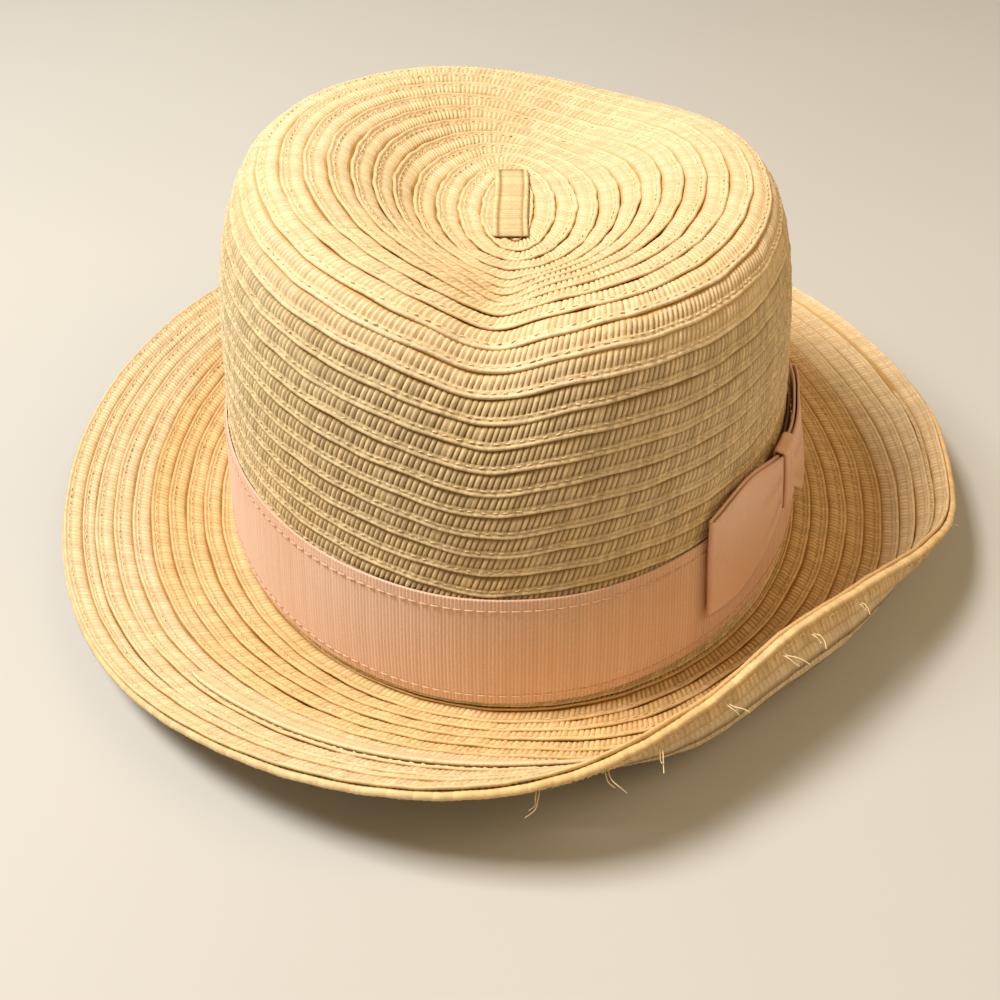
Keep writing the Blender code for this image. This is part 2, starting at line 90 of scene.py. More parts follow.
def hump(angle: Array, centre: float, half_angle: float, amount: float) -> Array:
    """Smooth local swelling around the hat.

    Args:
        angle: Angles in degrees.
        centre: Angle of the swelling's middle.
        half_angle: How far it reaches to each side.
        amount: Its size at the middle.

    Returns:
        The swelling at each angle.
    """
    away = (angle - centre + 180.0) % 360.0 - 180.0
    return amount * np.exp(-((away / half_angle) ** 2))


def smooth_step(value: Array) -> Array:
    """Ease from 0 to 1 as value goes from 0 to 1."""
    value = np.clip(value, 0.0, 1.0)
    return value * value * (3.0 - 2.0 * value)


def slow_waves(position: Array, seed: int, lengths: Sequence[float]) -> Array:
    """Irregular slow variation between about -1 and 1.

    Args:
        position: Where it is wanted, in any unit.
        seed: Chooses the phases.
        lengths: Wave lengths, in the unit of position.

    Returns:
        The variation at each position.
    """
    phases = np.random.default_rng(seed).uniform(0.0, 2.0 * np.pi, len(lengths))
    waves = [np.sin(2.0 * np.pi * position / length + phase) for length, phase in zip(lengths, phases)]
    return sum(waves) / len(lengths)


def deselect_all() -> None:
    """Leave nothing selected and nothing active."""
    for thing in bpy.context.selected_objects:
        thing.select_set(False)
    bpy.context.view_layer.objects.active = None


@dataclass
class Shell:
    """Points, faces and the per-point marks of a mesh that is being put together."""

    points: list = field(default_factory=list)
    faces: list = field(default_factory=list)
    marks: list = field(default_factory=list)
    count: int = 0

    def add(self, points: Array, faces: Sequence[Array], marks: Optional[Array] = None) -> None:
        """Add points, and faces that count from the first of them.

        Args:
            points: One row per point, in metres.
            faces: Arrays of faces, each of one size.
            marks: Three marks per point: how deep it lies, which sets its painted shade, its strand's shade,
                and its distance along.
        """
        self.points.append(points)
        self.marks.append(np.zeros((len(points), 3)) if marks is None else marks)
        self.faces += [block + self.count for block in faces if len(block)]
        self.count += len(points)

    def build(self, name: str) -> bpy.types.Object:
        """Make the object.

        Args:
            name: Name of the new object.

        Returns:
            The object, at the origin, with its faces outwards.
        """
        mesh = bpy.data.meshes.new(name)
        points = np.concatenate(self.points)
        loops = np.concatenate([block.ravel() for block in self.faces])
        sizes = np.concatenate([np.full(len(block), block.shape[1]) for block in self.faces])
        starts = np.concatenate(([0], np.cumsum(sizes)[:-1]))
        mesh.vertices.add(len(points))
        mesh.vertices.foreach_set("co", points.astype(np.float32).ravel())
        mesh.loops.add(len(loops))
        mesh.loops.foreach_set("vertex_index", loops.astype(np.int32))
        mesh.polygons.add(len(sizes))
        mesh.polygons.foreach_set("loop_start", starts.astype(np.int32))
        mesh.update(calc_edges=True)
        mesh.validate()
        layer = mesh.attributes.new("lay", "FLOAT_VECTOR", "POINT")
        layer.data.foreach_set("vector", np.concatenate(self.marks).astype(np.float32).ravel())
        mesh.shade_smooth()
        made = bpy.data.objects.new(name, mesh)
        bpy.context.scene.collection.objects.link(made)
        return made


def tube_faces(rows: int, columns: int, ring: bool = False) -> list:
    """Faces of a closed tube whose points are rows of sections.

    Args:
        rows: Number of sections along it.
        columns: Points in each section.
        ring: Whether the last section joins the first.

    Returns:
        Quads, and the two end caps where it isn't a ring.
    """
    last = rows if ring else rows - 1
    row, column = np.meshgrid(np.arange(last), np.arange(columns), indexing="ij")
    after, beside = (row + 1) % rows, (column + 1) % columns
    quads = np.stack([row * columns + column, row * columns + beside,
                      after * columns + beside, after * columns + column], -1).reshape(-1, 4)
    if ring:
        return [quads]
    start = np.arange(columns)[::-1][None]
    end = ((rows - 1) * columns + np.arange(columns))[None]
    return [quads, start, end]


def volume_sign(points: Array, faces: Sequence[Array]) -> float:
    """Sign of the volume that the faces' quads enclose: negative when they point inwards."""
    quads = faces[0]
    a, b, c, d = (points[quads[:, corner]] for corner in range(4))
    cross = np.einsum("ij,ij->i", a, np.cross(b, c)) + np.einsum("ij,ij->i", a, np.cross(c, d))
    return float(np.sign(cross.sum()))


def outward(points: Array, faces: list) -> list:
    """The same faces, turned over if they point inwards."""
    middle = points.mean(0)
    return faces if volume_sign(points - middle, faces) >= 0 else [block[:, ::-1] for block in faces]


def shell_marks(deep: Array, strand: Array = 0.0, along: Array = 0.0) -> Array:
    """The marks of a grid of points: how deep each lies, which sets its painted shade, its strand's shade and
    its distance along.
    """
    return np.stack(np.broadcast_arrays(deep, strand, along), -1).reshape(-1, 3)


def one_shell(name: str, points: Array, faces: Sequence[Array],
              marks: Optional[Array] = None) -> bpy.types.Object:
    """An object of a single closed body, with its faces outwards."""
    shell = Shell()
    shell.add(points, outward(points, faces), marks)
    return shell.build(name)


def sheet_body(outside: Array, inside: Array, ring: bool) -> tuple:
    """Closed body of a sheet.

    Args:
        outside: Points of its outer side, along by across, in metres.
        inside: Points of its inner side.
        ring: Whether its ends meet.

    Returns:
        Points and faces; each section holds the outside and then the inside, backwards.
    """
    section = np.concatenate((outside, inside[:, ::-1]), axis=1)
    return section.reshape(-1, 3), tube_faces(section.shape[0], section.shape[1], ring)


def both_sides(marks: Array) -> Array:
    """One side's marks, laid out for both sides of a sheet's body."""
    return np.concatenate((marks, marks[:, ::-1]), axis=1)


def add_stitches(shell: Shell, stations: Sequence[Array], shades: Optional[Array] = None) -> None:
    """Add a row of stitches, each a closed four-sided rod through four stations.

    Args:
        shell: The mesh they are added to.
        stations: At each station, the four corners of every stitch.
        shades: One strand shade per stitch.
    """
    block = np.stack(stations, 1)
    count, size = len(block), STITCH_POINTS
    rod, base = tube_faces(4, 4), np.arange(count)[:, None, None] * size
    first = block[0].reshape(-1, 3)
    inwards = volume_sign(first - first.mean(0), rod) < 0
    faces = [(part[None] + base).reshape(-1, part.shape[1]) for part in rod]
    marks = np.zeros((count * size, 3))
    if shades is not None:
        marks[:, 1] = np.repeat(shades, size)
    shell.add(block.reshape(-1, 3), [part[:, ::-1] for part in faces] if inwards else faces, marks)


def diamond(half: float) -> tuple:
    """Corners of a thread's section, across and outwards."""
    return (-half, 0.0), (0.0, half), (half, 0.0), (0.0, -half)


def columns(rows: Sequence[Sequence[float]]) -> tuple:
    """The columns of a table as arrays."""
    return tuple(np.array(column) for column in zip(*rows))


def declare(piece: bpy.types.Object, body: Body, slot: Slot, finish: bpy.types.Material,
            nodes: Sequence[str] = ()) -> bpy.types.Object:
    """Dress a piece, attach it to the body it rides on, and report it.

    Args:
        piece: The piece.
        body: The body it rides on.
        slot: The record's material slot; not used.
        finish: Its material.
        nodes: CAD nodes that it stands for.

    Returns:
        The piece.
    """
    piece.data.materials.clear()
    piece.data.materials.append(finish)
    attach(piece, body.value)
    if nodes:
        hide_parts(*nodes)
    LOG.info("%s: %d faces on %s", piece.name, len(piece.data.polygons), body.value)
    return piece


# ---------------------------------------------------------------------------------------- hat's surface


def read_table(table: Array, turn: Array, row: Array, low: Array) -> Array:
    """Read a table with a row per degree between its entries.

    Args:
        table: Its values, degree by step.
        turn: Angles from 0 to 360 degrees.
        row: Steps, as fractions.
        low: The whole step at or below each.

    Returns:
        The value at each.
    """
    left = np.floor(turn).astype(int)
    across, along = turn - left, row - low
    near = table[left, low] * (1 - along) + table[left, low + 1] * along
    far = table[left + 1, low] * (1 - along) + table[left + 1, low + 1] * along
    return near * (1 - across) + far * across


@dataclass
class Meridians:
    """A surface of revolution over an oval: for each degree, a path of (reach, height)."""

    reach: Array
    height: Array
    core: float
    middle: tuple
    steps: int = 400

    def __post_init__(self) -> None:
        """Space every path's points evenly along it."""
        reaches, heights, lengths = [], [], []
        for reach, height in zip(self.reach, self.height):
            run = np.concatenate(([0.0], np.cumsum(np.hypot(np.diff(reach), np.diff(height)))))
            even = np.linspace(0.0, run[-1], self.steps + 1)
            reaches.append(np.interp(even, run, reach))
            heights.append(np.interp(even, run, height))
            lengths.append(run[-1])
        self.reach, self.height, self.length = np.array(reaches), np.array(heights), np.array(lengths)
        turn_out, turn_up = np.gradient(self.reach, axis=1), np.gradient(self.height, axis=1)
        size = np.hypot(turn_out, turn_up)
        self.out, self.up = turn_out / size, turn_up / size

    def sample(self, table: Array, angle: Array, share: Array) -> Array:
        """Read one of the tables between its entries."""
        row = np.clip(share, 0.0, 1.0) * self.steps
        return read_table(table, angle % 360.0, row, np.minimum(np.floor(row).astype(int), self.steps - 1))

    def lengths(self, angle: Array) -> Array:
        """Length of the meridian at each angle."""
        return np.interp(angle % 360.0, np.arange(361), self.length)

    def at(self, angle: Array, share: Array, lift: Array) -> Array:
        """Points on, over or under the surface.

        Args:
            angle: Angles in degrees.
            share: Shares of the meridian; past its ends it goes straight on.
            lift: Height over the surface, in millimetres; negative lies under it.

        Returns:
            One point per angle, in metres.
        """
        angle, share, lift = np.broadcast_arrays(angle, share, lift)
        out, up = self.sample(self.out, angle, share), self.sample(self.up, angle, share)
        past = (share - np.clip(share, 0.0, 1.0)) * self.lengths(angle)
        reach = self.sample(self.reach, angle, share) + past * out - lift * up
        height = self.sample(self.height, angle, share) + past * up + lift * out
        return self.place(angle, reach, height)

    def place(self, angle: Array, reach: Array, height: Array) -> Array:
        """Points in space, in metres, of reaches and heights at angles."""
        turn = np.radians(angle)
        x, y = reach * np.sin(turn) + self.middle[0], -(reach + self.core) * np.cos(turn) + self.middle[1]
        return np.stack([x, y, height], -1) * MM


@dataclass
class HatShape:
    """Sizes of the crown and brim, and the surfaces they give."""

    half_width: float = 86.0
    half_length: float = 101.0
    crown_height: float = 104.5
    front_rise: float = 2.3
    right_drop: float = 0.9
    tip_depth: float = 13.5
    tip_flat: float = 20.0
    bowl: tuple = (40.5, 6.0)
    crest: tuple = (29.5, -1.3)
    shoulder: tuple = (15.0, 2.9)
    neck: tuple = (5.6, 27.4)
    wall: tuple = (2.5, 40.0)
    foot: float = 2.1
    foot_straight: float = 12.0
    rim_dents: tuple = ((-8, 18, 4.0), (-5, 9, 3.5), (150, 34, 5.5), (-90, 60, -6.2), (90, 60, -2.1))
    side_squeeze: tuple = (75, 42, 4.0)
    rim_squeeze: tuple = (75, 42, 1.5)
    front_pinch: tuple = ((-10, 16, 2.5), (-5, 9, 2.5), (20, 14, -1.5))
    straw: float = 1.8
    brim_width: float = 50.0
    rest_land: float = 3.0
    fold: tuple = (0.35, 0.85)
    brim_steps: int = 96
    corner_steps: int = 24
    wall_top: float = 70.0
    wall_rows: int = 140
    slopes: tuple = (
        (0, 27, 42), (20, 14, 90), (35, 20, 104), (50, 12, 100), (62, 5, 78), (73, 3, 54), (85, 6, 52),
        (102, 6, 30), (125, 14, 12), (180, 22, 9), (240, 21, 10), (270, 16, 12), (300, 10, 13),
        (330, 22, 24),
    )

    def __post_init__(self) -> None:
        """Work out the surfaces once."""
        mounts = {mount["name"]: mount for mount in frame["record"]["mounts"]}
        self.middle = tuple(value / MM for value in mounts["head_opening"]["pos_m"][:2])
        self.core = self.half_length - self.half_width
        self.angles = np.arange(361.0)
        self.crown = self.crown_surface()
        self.brim = self.brim_surface()
        self.wall_levels = np.linspace(self.foot, self.wall_top, self.wall_rows)
        half = self.crown.steps // 2
        self.wall_table = np.array([
            np.interp(self.wall_levels, heights[half:][::-1], reaches[half:][::-1])
            for reaches, heights in zip(self.crown.reach, self.crown.height)])

    def crown_surface(self) -> Meridians:
        """Outside of the crown, from the middle of its tip to the foot of its wall."""
        a, foot = self.angles, self.half_width
        turn = np.radians(a)
        rim = self.crown_height + self.front_rise * np.cos(turn) - self.right_drop * np.sin(turn)
        rim = rim - sum(hump(a, *dent) for dent in self.rim_dents)
        squeeze = hump(a, *self.side_squeeze)
        pinch = hump(a, *self.rim_squeeze) + sum(hump(a, *dent) for dent in self.front_pinch)
        tip = self.crown_height - self.tip_depth
        flat = np.zeros_like(a)
        corners = np.array([
            (flat, flat + tip),
            (flat + self.tip_flat, flat + tip),
            (self.bowl[0] - squeeze, rim - self.bowl[1]),
            (foot - self.crest[0] - pinch, rim + self.crest[1]),
            (foot - self.shoulder[0] - pinch, rim - self.shoulder[1]),
            (foot - self.neck[0] - squeeze, rim - self.neck[1]),
            (foot - self.wall[0] - squeeze, flat + self.wall[1]),
            (flat + foot, flat + self.foot + self.foot_straight),
            (flat + foot, flat + self.foot),
        ])
        middles = (corners[:-1] + corners[1:]) / 2
        middles[0], middles[-1] = corners[0], corners[-1]
        path = [middles[0]]
        for start, corner, end in zip(middles, corners[1:-1], middles[1:]):
            for t in np.linspace(0.0, 1.0, self.corner_steps + 1)[1:]:
                path.append((1 - t) ** 2 * start + 2 * t * (1 - t) * corner + t * t * end)
        path = np.array(path)
        return Meridians(path[:, 0].T, path[:, 1].T, self.core, self.middle)

    def brim_surface(self) -> Meridians:
        """Upper side of the brim, from under the crown's wall to its edge."""
        turns = np.array([row[0] for row in self.slopes], float)
        turns = np.concatenate((turns[-2:] - 360, turns, turns[:2] + 360))
        dish, lip = (self.around(turns, column) for column in (1, 2))
        free = self.brim_width - self.rest_land
        share = (self.rest_land + (np.arange(self.brim_steps) + 0.5) * free / self.brim_steps)
        fold = smooth_step((share / self.brim_width - self.fold[0]) / (self.fold[1] - self.fold[0]))
        slope = np.radians(dish[:, None] + (lip - dish)[:, None] * fold[None])
        start = np.array([self.half_width - self.straw, self.half_width + self.rest_land])
        step = free / self.brim_steps
        reach = np.cumsum(np.cos(slope), 1) * step + start[1]
        height = np.cumsum(np.sin(slope), 1) * step + self.straw
        ends = np.ones((len(self.angles), 2))
        return Meridians(np.hstack((ends * start, reach)), np.hstack((ends * self.straw, height)),
                         self.core, self.middle)

    def around(self, turns: Array, column: int) -> Array:
        """One column of the brim's slopes at every degree, on a smooth closed curve."""
        values = np.array([row[column] for row in self.slopes], float)
        values = np.concatenate((values[-2:], values, values[:2]))
        index = np.searchsorted(turns, self.angles, side="right") - 1
        index = np.minimum(index, len(turns) - 3)
        before, start, end, after = (values[index + step] for step in (-1, 0, 1, 2))
        t0, t1, t2, t3 = (turns[index + step] for step in (-1, 0, 1, 2))
        span, t = t2 - t1, (self.angles - t1) / (t2 - t1)
        leave, arrive = (end - before) / (t2 - t0) * span, (after - start) / (t3 - t1) * span
        rise = end - start
        return start + t * (leave + t * (3 * rise - 2 * leave - arrive + t * (leave + arrive - 2 * rise)))

    def wall_reach(self, angle: Array, height: Array) -> Array:
        """Reach of the crown's outside at heights on its wall.

        Args:
            angle: Angles in degrees.
            height: Heights in millimetres.

        Returns:
            The reach at each.
        """
        angle, height = np.broadcast_arrays(np.asarray(angle, float), np.asarray(height, float))
        top = self.wall_levels[-1] - 1e-6
        row = (np.clip(height, self.foot, top) - self.foot) / (self.wall_levels[1] - self.foot)
        return read_table(self.wall_table, angle % 360.0, row, np.floor(row).astype(int))

    def on_wall(self, angle: Array, height: Array, offset: Array) -> Array:
        """Points at an offset outside the crown's wall, in metres."""
        angle, height, offset = np.broadcast_arrays(angle, height, offset)
        return self.crown.place(angle, self.wall_reach(angle, height) + offset, height)


# -------------------------------------------------------------------------------------------- finishes


class Nodes:
    """Short way to build a material's or a group's nodes."""

    def __init__(self, tree: bpy.types.NodeTree) -> None:
        """Keep the tree."""
        self.tree = tree

    def add(self, kind: str, values: Optional[dict] = None, **settings: object) -> bpy.types.Node:
        """Add a node.

        Args:
            kind: Blender's node type.
            values: Values or sockets for its inputs, by name or number.
            settings: Properties of the node.

        Returns:
            The node.
        """
        node = self.tree.nodes.new(kind)
        for name, value in settings.items():
            setattr(node, name, value)
        for key, value in (values or {}).items():
            if isinstance(value, bpy.types.NodeSocket):
                self.tree.links.new(value, node.inputs[key])
            else:
                node.inputs[key].default_value = value
        return node

    def mix(self, factor: object, first: object, second: object, blend: str = "MIX") -> bpy.types.NodeSocket:
        """Mix two colours and give the result's socket."""
        node = self.add("ShaderNodeMix", {0: factor, 6: first, 7: second}, data_type="RGBA", blend_type=blend)
        return node.outputs[2]

    def math(self, operation: str, first: object, second: object = 0.0) -> bpy.types.NodeSocket:
        """One sum on two values."""
        return self.add("ShaderNodeMath", {0: first, 1: second}, operation=operation).outputs[0]

    def ramp(self, value: object, low: float, high: float) -> bpy.types.NodeSocket:
        """Stretch a value from low..high to 0..1."""
        node = self.add("ShaderNodeMapRange", {0: value, 1: low, 2: high}, clamp=True)
        return node.outputs[0]

    def noise(self, vector: object, scale: float, detail: float = 3.0) -> bpy.types.NodeSocket:
        """Plain noise."""
        return self.add("ShaderNodeTexNoise", {"Vector": vector, "Scale": scale, "Detail": detail}).outputs[0]


def new_group(name: str, inputs: dict, outputs: dict) -> tuple:
    """Start a shader node group.

    Args:
        name: Its name.
        inputs: Socket types by input name, each with its default.
        outputs: Socket types by output name.

    Returns:
        The group's tree, its Nodes, its input node and its output node.
    """
    tree = bpy.data.node_groups.new(name, "ShaderNodeTree")
    for label, (kind, default) in inputs.items():
        socket = tree.interface.new_socket(label, in_out="INPUT", socket_type=kind)
        socket.default_value = default
    for label, kind in outputs.items():
        tree.interface.new_socket(label, in_out="OUTPUT", socket_type=kind)
    nodes = Nodes(tree)
    return tree, nodes, tree.nodes.new("NodeGroupInput"), tree.nodes.new("NodeGroupOutput")


def stain_and_shade_group() -> bpy.types.NodeTree:
    """Slow uneven soiling and fading, which are the fibre's own colour, and painted shade in the hollows
    between strands, for every woven finish.
    """
    colour, value = "NodeSocketColor", "NodeSocketFloat"
    tree, n, given, out = new_group(
        "woven_stain_and_shade",
        {"Clean": (colour, (1, 1, 1, 1)), "Deep": (colour, (0, 0, 0, 1)), "Stain": (colour, (1, 1, 1, 1)),
         "Stain amount": (value, 0.4), "Strand contrast": (value, 0.2), "Depth": (value, 1.0)},
        {"Colour": colour, "Hollow": value})
    place = n.add("ShaderNodeTexCoord").outputs["Object"]
    lay = n.add("ShaderNodeAttribute", attribute_name="lay").outputs["Vector"]
    marks = n.add("ShaderNodeSeparateXYZ", {0: lay})
    hollow = n.math("MULTIPLY", marks.outputs[0], given.outputs["Depth"])
    patches = n.ramp(n.noise(place, 22.0, 4.0), 0.42, 0.68)
    stained = n.mix(n.math("MULTIPLY", patches, given.outputs["Stain amount"]),
                    given.outputs["Clean"], given.outputs["Stain"])
    shade = n.math("SUBTRACT", 1.0, n.math("MULTIPLY", marks.outputs[1], given.outputs["Strand contrast"]))
    strands = n.mix(1.0, stained, n.add("ShaderNodeCombineColor", {0: shade, 1: shade, 2: shade}).outputs[0],
                    "MULTIPLY")
    # Painted shade: the hollow mark darkens the colour towards the Deep colour in gaps, creases and tucks.
    mixed = n.mix(n.math("MINIMUM", hollow, 1.0), strands, given.outputs["Deep"])
    tree.links.new(mixed, out.inputs["Colour"])
    tree.links.new(hollow, out.inputs["Hollow"])
    return tree


def fibre_group() -> bpy.types.NodeTree:
    """Height of fine fibres, for the straw, ribbon, thread and cotton."""
    value = "NodeSocketFloat"
    tree, n, given, out = new_group(
        "fine_fibres", {"Scale": (value, 900.0), "Stretch": (value, 1.0)}, {"Height": value})
    place = n.add("ShaderNodeTexCoord").outputs["Object"]
    stretch = n.add("ShaderNodeCombineXYZ", {0: 1.0, 1: 1.0, 2: given.outputs["Stretch"]}).outputs[0]
    pulled = n.add("ShaderNodeVectorMath", {0: place, 1: stretch}, operation="MULTIPLY").outputs[0]
    noise = n.add("ShaderNodeTexNoise", {"Vector": pulled, "Scale": given.outputs["Scale"], "Detail": 2.0})
    tree.links.new(noise.outputs[0], out.inputs["Height"])
    return tree


@dataclass(frozen=True)
class WovenFinish:
    """A finish of woven, braided or spun fibre."""

    name: str
    clean: tuple
    # Colour painted into hollows, creases and tucks as shade
    deep: tuple
    stain: tuple
    stain_amount: float = 0.4
    strand_contrast: float = 0.2
    depth: float = 1.0
    roughness: tuple = (0.55, 0.85)
    sheen: float = 0.0
    fibre_scale: float = 900.0
    fibre_stretch: float = 1.0
    bump: float = 0.25
    bump_depth: float = 0.0002
    specular: float = 0.35

    def make(self, stain_and_shade: bpy.types.NodeTree, fibres: bpy.types.NodeTree) -> bpy.types.Material:
        """Build the material.

        Args:
            stain_and_shade: The shared group for colour, with its stains and its painted shade in hollows.
            fibres: The shared group for fine relief.

        Returns:
            The material.
        """
        made = bpy.data.materials.new(self.name)
        made.use_nodes = True
        n = Nodes(made.node_tree)
        shader = made.node_tree.nodes["Principled BSDF"]
        colours = n.add("ShaderNodeGroup", node_tree=stain_and_shade)
        for label, value in (("Clean", (*self.clean, 1)), ("Deep", (*self.deep, 1)),
                             ("Stain", (*self.stain, 1)), ("Stain amount", self.stain_amount),
                             ("Strand contrast", self.strand_contrast), ("Depth", self.depth)):
            colours.inputs[label].default_value = value
        relief = n.add("ShaderNodeGroup", node_tree=fibres)
        relief.inputs["Scale"].default_value = self.fibre_scale
        relief.inputs["Stretch"].default_value = self.fibre_stretch
        tint = n.mix(n.ramp(relief.outputs["Height"], 0.3, 0.8), (0.9, 0.87, 0.8, 1), (1.08, 1.07, 1.05, 1))
        colour = n.mix(1.0, colours.outputs["Colour"], tint, "MULTIPLY")
        rough = n.add("ShaderNodeMapRange", {0: relief.outputs["Height"], 1: 0.3, 2: 0.7,
                                             3: self.roughness[0], 4: self.roughness[1]}).outputs[0]
        bump = n.add("ShaderNodeBump", {"Height": relief.outputs["Height"], "Strength": self.bump,
                                        "Distance": self.bump_depth})
        links = made.node_tree.links
        links.new(colour, shader.inputs["Base Color"])
        links.new(rough, shader.inputs["Roughness"])
        links.new(bump.outputs[0], shader.inputs["Normal"])
        shader.inputs["Sheen Weight"].default_value = self.sheen
        shader.inputs["Specular IOR Level"].default_value = self.specular
        return made


@dataclass(frozen=True)
class Finishes:
    """Every finish of the hat."""

    straw: WovenFinish = WovenFinish(
        "straw_braid", (0.83, 0.69, 0.49), (0.58, 0.36, 0.12), (0.80, 0.61, 0.37),
        stain_amount=0.4, strand_contrast=0.20, roughness=(0.45, 0.75), fibre_scale=1500.0, bump=0.35)
    # A copy of the straw, slightly more golden and with much darker painted shade in its hollows, for the
    # shaded crown wall
    straw_wall_shaded: WovenFinish = WovenFinish(
        "straw_braid_wall_shaded", (0.82, 0.68, 0.45), (0.27, 0.15, 0.02), (0.78, 0.58, 0.31),
        stain_amount=0.4, strand_contrast=0.30, roughness=(0.45, 0.75), fibre_scale=1500.0, bump=0.35)
    # A copy of the straw with more orange patches and darker painted shade in its hollows, for the brim's
    # inner rows and the under row of its edge
    straw_orange_deeper_shade: WovenFinish = WovenFinish(
        "straw_braid_orange_deeper_shade", (0.83, 0.64, 0.38), (0.50, 0.27, 0.06), (0.79, 0.52, 0.23),
        stain_amount=0.6, strand_contrast=0.22, roughness=(0.45, 0.75), fibre_scale=1500.0, bump=0.35)
    ribbon: WovenFinish = WovenFinish(
        "grosgrain_ribbon", (0.84, 0.62, 0.55), (0.62, 0.36, 0.25), (0.80, 0.48, 0.32),
        stain_amount=0.5, strand_contrast=0.10, roughness=(0.5, 0.75), sheen=0.2,
        fibre_scale=2500.0, bump=0.2)
    bow: WovenFinish = WovenFinish(
        "bow_ribbon", (0.82, 0.58, 0.51), (0.45, 0.20, 0.11), (0.76, 0.42, 0.26),
        stain_amount=0.6, strand_contrast=0.08, roughness=(0.45, 0.7), sheen=0.2,
        fibre_scale=2500.0, bump=0.2)
    thread: WovenFinish = WovenFinish(
        "sewing_thread", (0.86, 0.74, 0.50), (0.50, 0.34, 0.14), (0.80, 0.64, 0.38),
        stain_amount=0.3, roughness=(0.25, 0.5), fibre_scale=4000.0, bump=0.2)
    band_thread: WovenFinish = WovenFinish(
        "band_thread", (0.78, 0.52, 0.38), (0.50, 0.26, 0.15), (0.70, 0.42, 0.28),
        stain_amount=0.3, roughness=(0.35, 0.6), fibre_scale=4000.0, bump=0.2)
    cotton: WovenFinish = WovenFinish(
        "cotton_band", (0.76, 0.66, 0.50), (0.40, 0.30, 0.18), (0.66, 0.54, 0.36),
        stain_amount=0.5, roughness=(0.7, 0.95), sheen=0.15, fibre_scale=1800.0, bump=0.4)
    label: WovenFinish = WovenFinish(
        "woven_label", (0.82, 0.80, 0.74), (0.55, 0.50, 0.42), (0.76, 0.70, 0.60),
        stain_amount=0.3, roughness=(0.5, 0.8), sheen=0.2, fibre_scale=3000.0, bump=0.3)


def steel_finish() -> bpy.types.Material:
    """Drawn steel wire with faint marks along it."""
    made = bpy.data.materials.new("edge_wire_steel")
    made.use_nodes = True
    n = Nodes(made.node_tree)
    shader = made.node_tree.nodes["Principled BSDF"]
    place = n.add("ShaderNodeTexCoord").outputs["Object"]
    marks = n.noise(place, 700.0, 2.0)
    colour = n.mix(marks, (0.30, 0.29, 0.27, 1), (0.55, 0.54, 0.50, 1))
    made.node_tree.links.new(colour, shader.inputs["Base Color"])
    rough = n.add("ShaderNodeMapRange", {0: marks, 3: 0.3, 4: 0.6}).outputs[0]
    made.node_tree.links.new(rough, shader.inputs["Roughness"])
    shader.inputs["Metallic"].default_value = 1.0
    return made


# ---------------------------------------------------------------------------------------- braided straw


@dataclass(frozen=True)
class BraidSection:
    """Cross-section of one row: share across, height, rib relief and depth mark of each point; the depth mark
    paints shade into the tucked inner edge, the grooves beside the stitch line and the underside of the bead.
    """

    points: tuple = (
        (-0.30, -1.35, 0.00, 0.9),
        (-0.10, -0.95, 0.00, 0.9),
        (0.00, -0.66, 0.04, 0.9),
        (0.07, -0.44, 0.15, 0.6),
        (0.15, -0.28, 0.27, 0.1),
        (0.33, -0.20, 0.31, 0.0),
        (0.50, -0.26, 0.28, 0.05),
        (0.60, -0.42, 0.16, 0.45),
        (0.67, -0.22, 0.06, 0.1),
        (0.735, -0.18, 0.05, 0.0),
        (0.79, -0.30, 0.03, 0.35),
        (0.85, 0.06, 0.03, 0.05),
        (0.91, 0.20, 0.03, 0.0),
        (0.97, 0.04, 0.03, 0.3),
        (1.01, -0.28, 0.02, 0.8),
        (0.93, -0.76, 0.06, 0.6),
        (0.60, -1.05, 0.16, 0.1),
        (0.25, -1.40, 0.12, 0.2),
    )
    pinhole_row: int = 7


@dataclass(frozen=True)
class EdgeSection(BraidSection):
    """Cross-section of the second layer under the edge, flat and with its cord at the outside."""

    points: tuple = (
        (0.02, -2.60, 0.02, 0.5),
        (0.20, -2.45, 0.10, 0.1),
        (0.45, -2.42, 0.14, 0.1),
        (0.72, -2.30, 0.08, 0.5),
        (0.82, -1.50, 0.03, 0.4),
        (0.91, -1.12, 0.03, 0.1),
        (1.00, -1.30, 0.03, 0.0),
        (1.05, -2.00, 0.03, 0.0),
        (1.03, -2.85, 0.03, 0.0),
        (0.94, -3.20, 0.03, 0.05),
        (0.82, -3.12, 0.05, 0.5),
        (0.68, -3.22, 0.12, 0.2),
        (0.45, -3.34, 0.16, 0.0),
        (0.22, -3.32, 0.14, 0.1),
        (0.06, -3.14, 0.04, 0.5),
    )
    pinhole_row: int = 11


@dataclass(frozen=True)
class StitchLine:
    """Where a row's stitches lie across it, their height, and their length, spacing and thickness."""

    across: float = 0.735
    height: float = -0.18
    length: float = 1.6
    space: float = 2.8
    width: float = 0.36


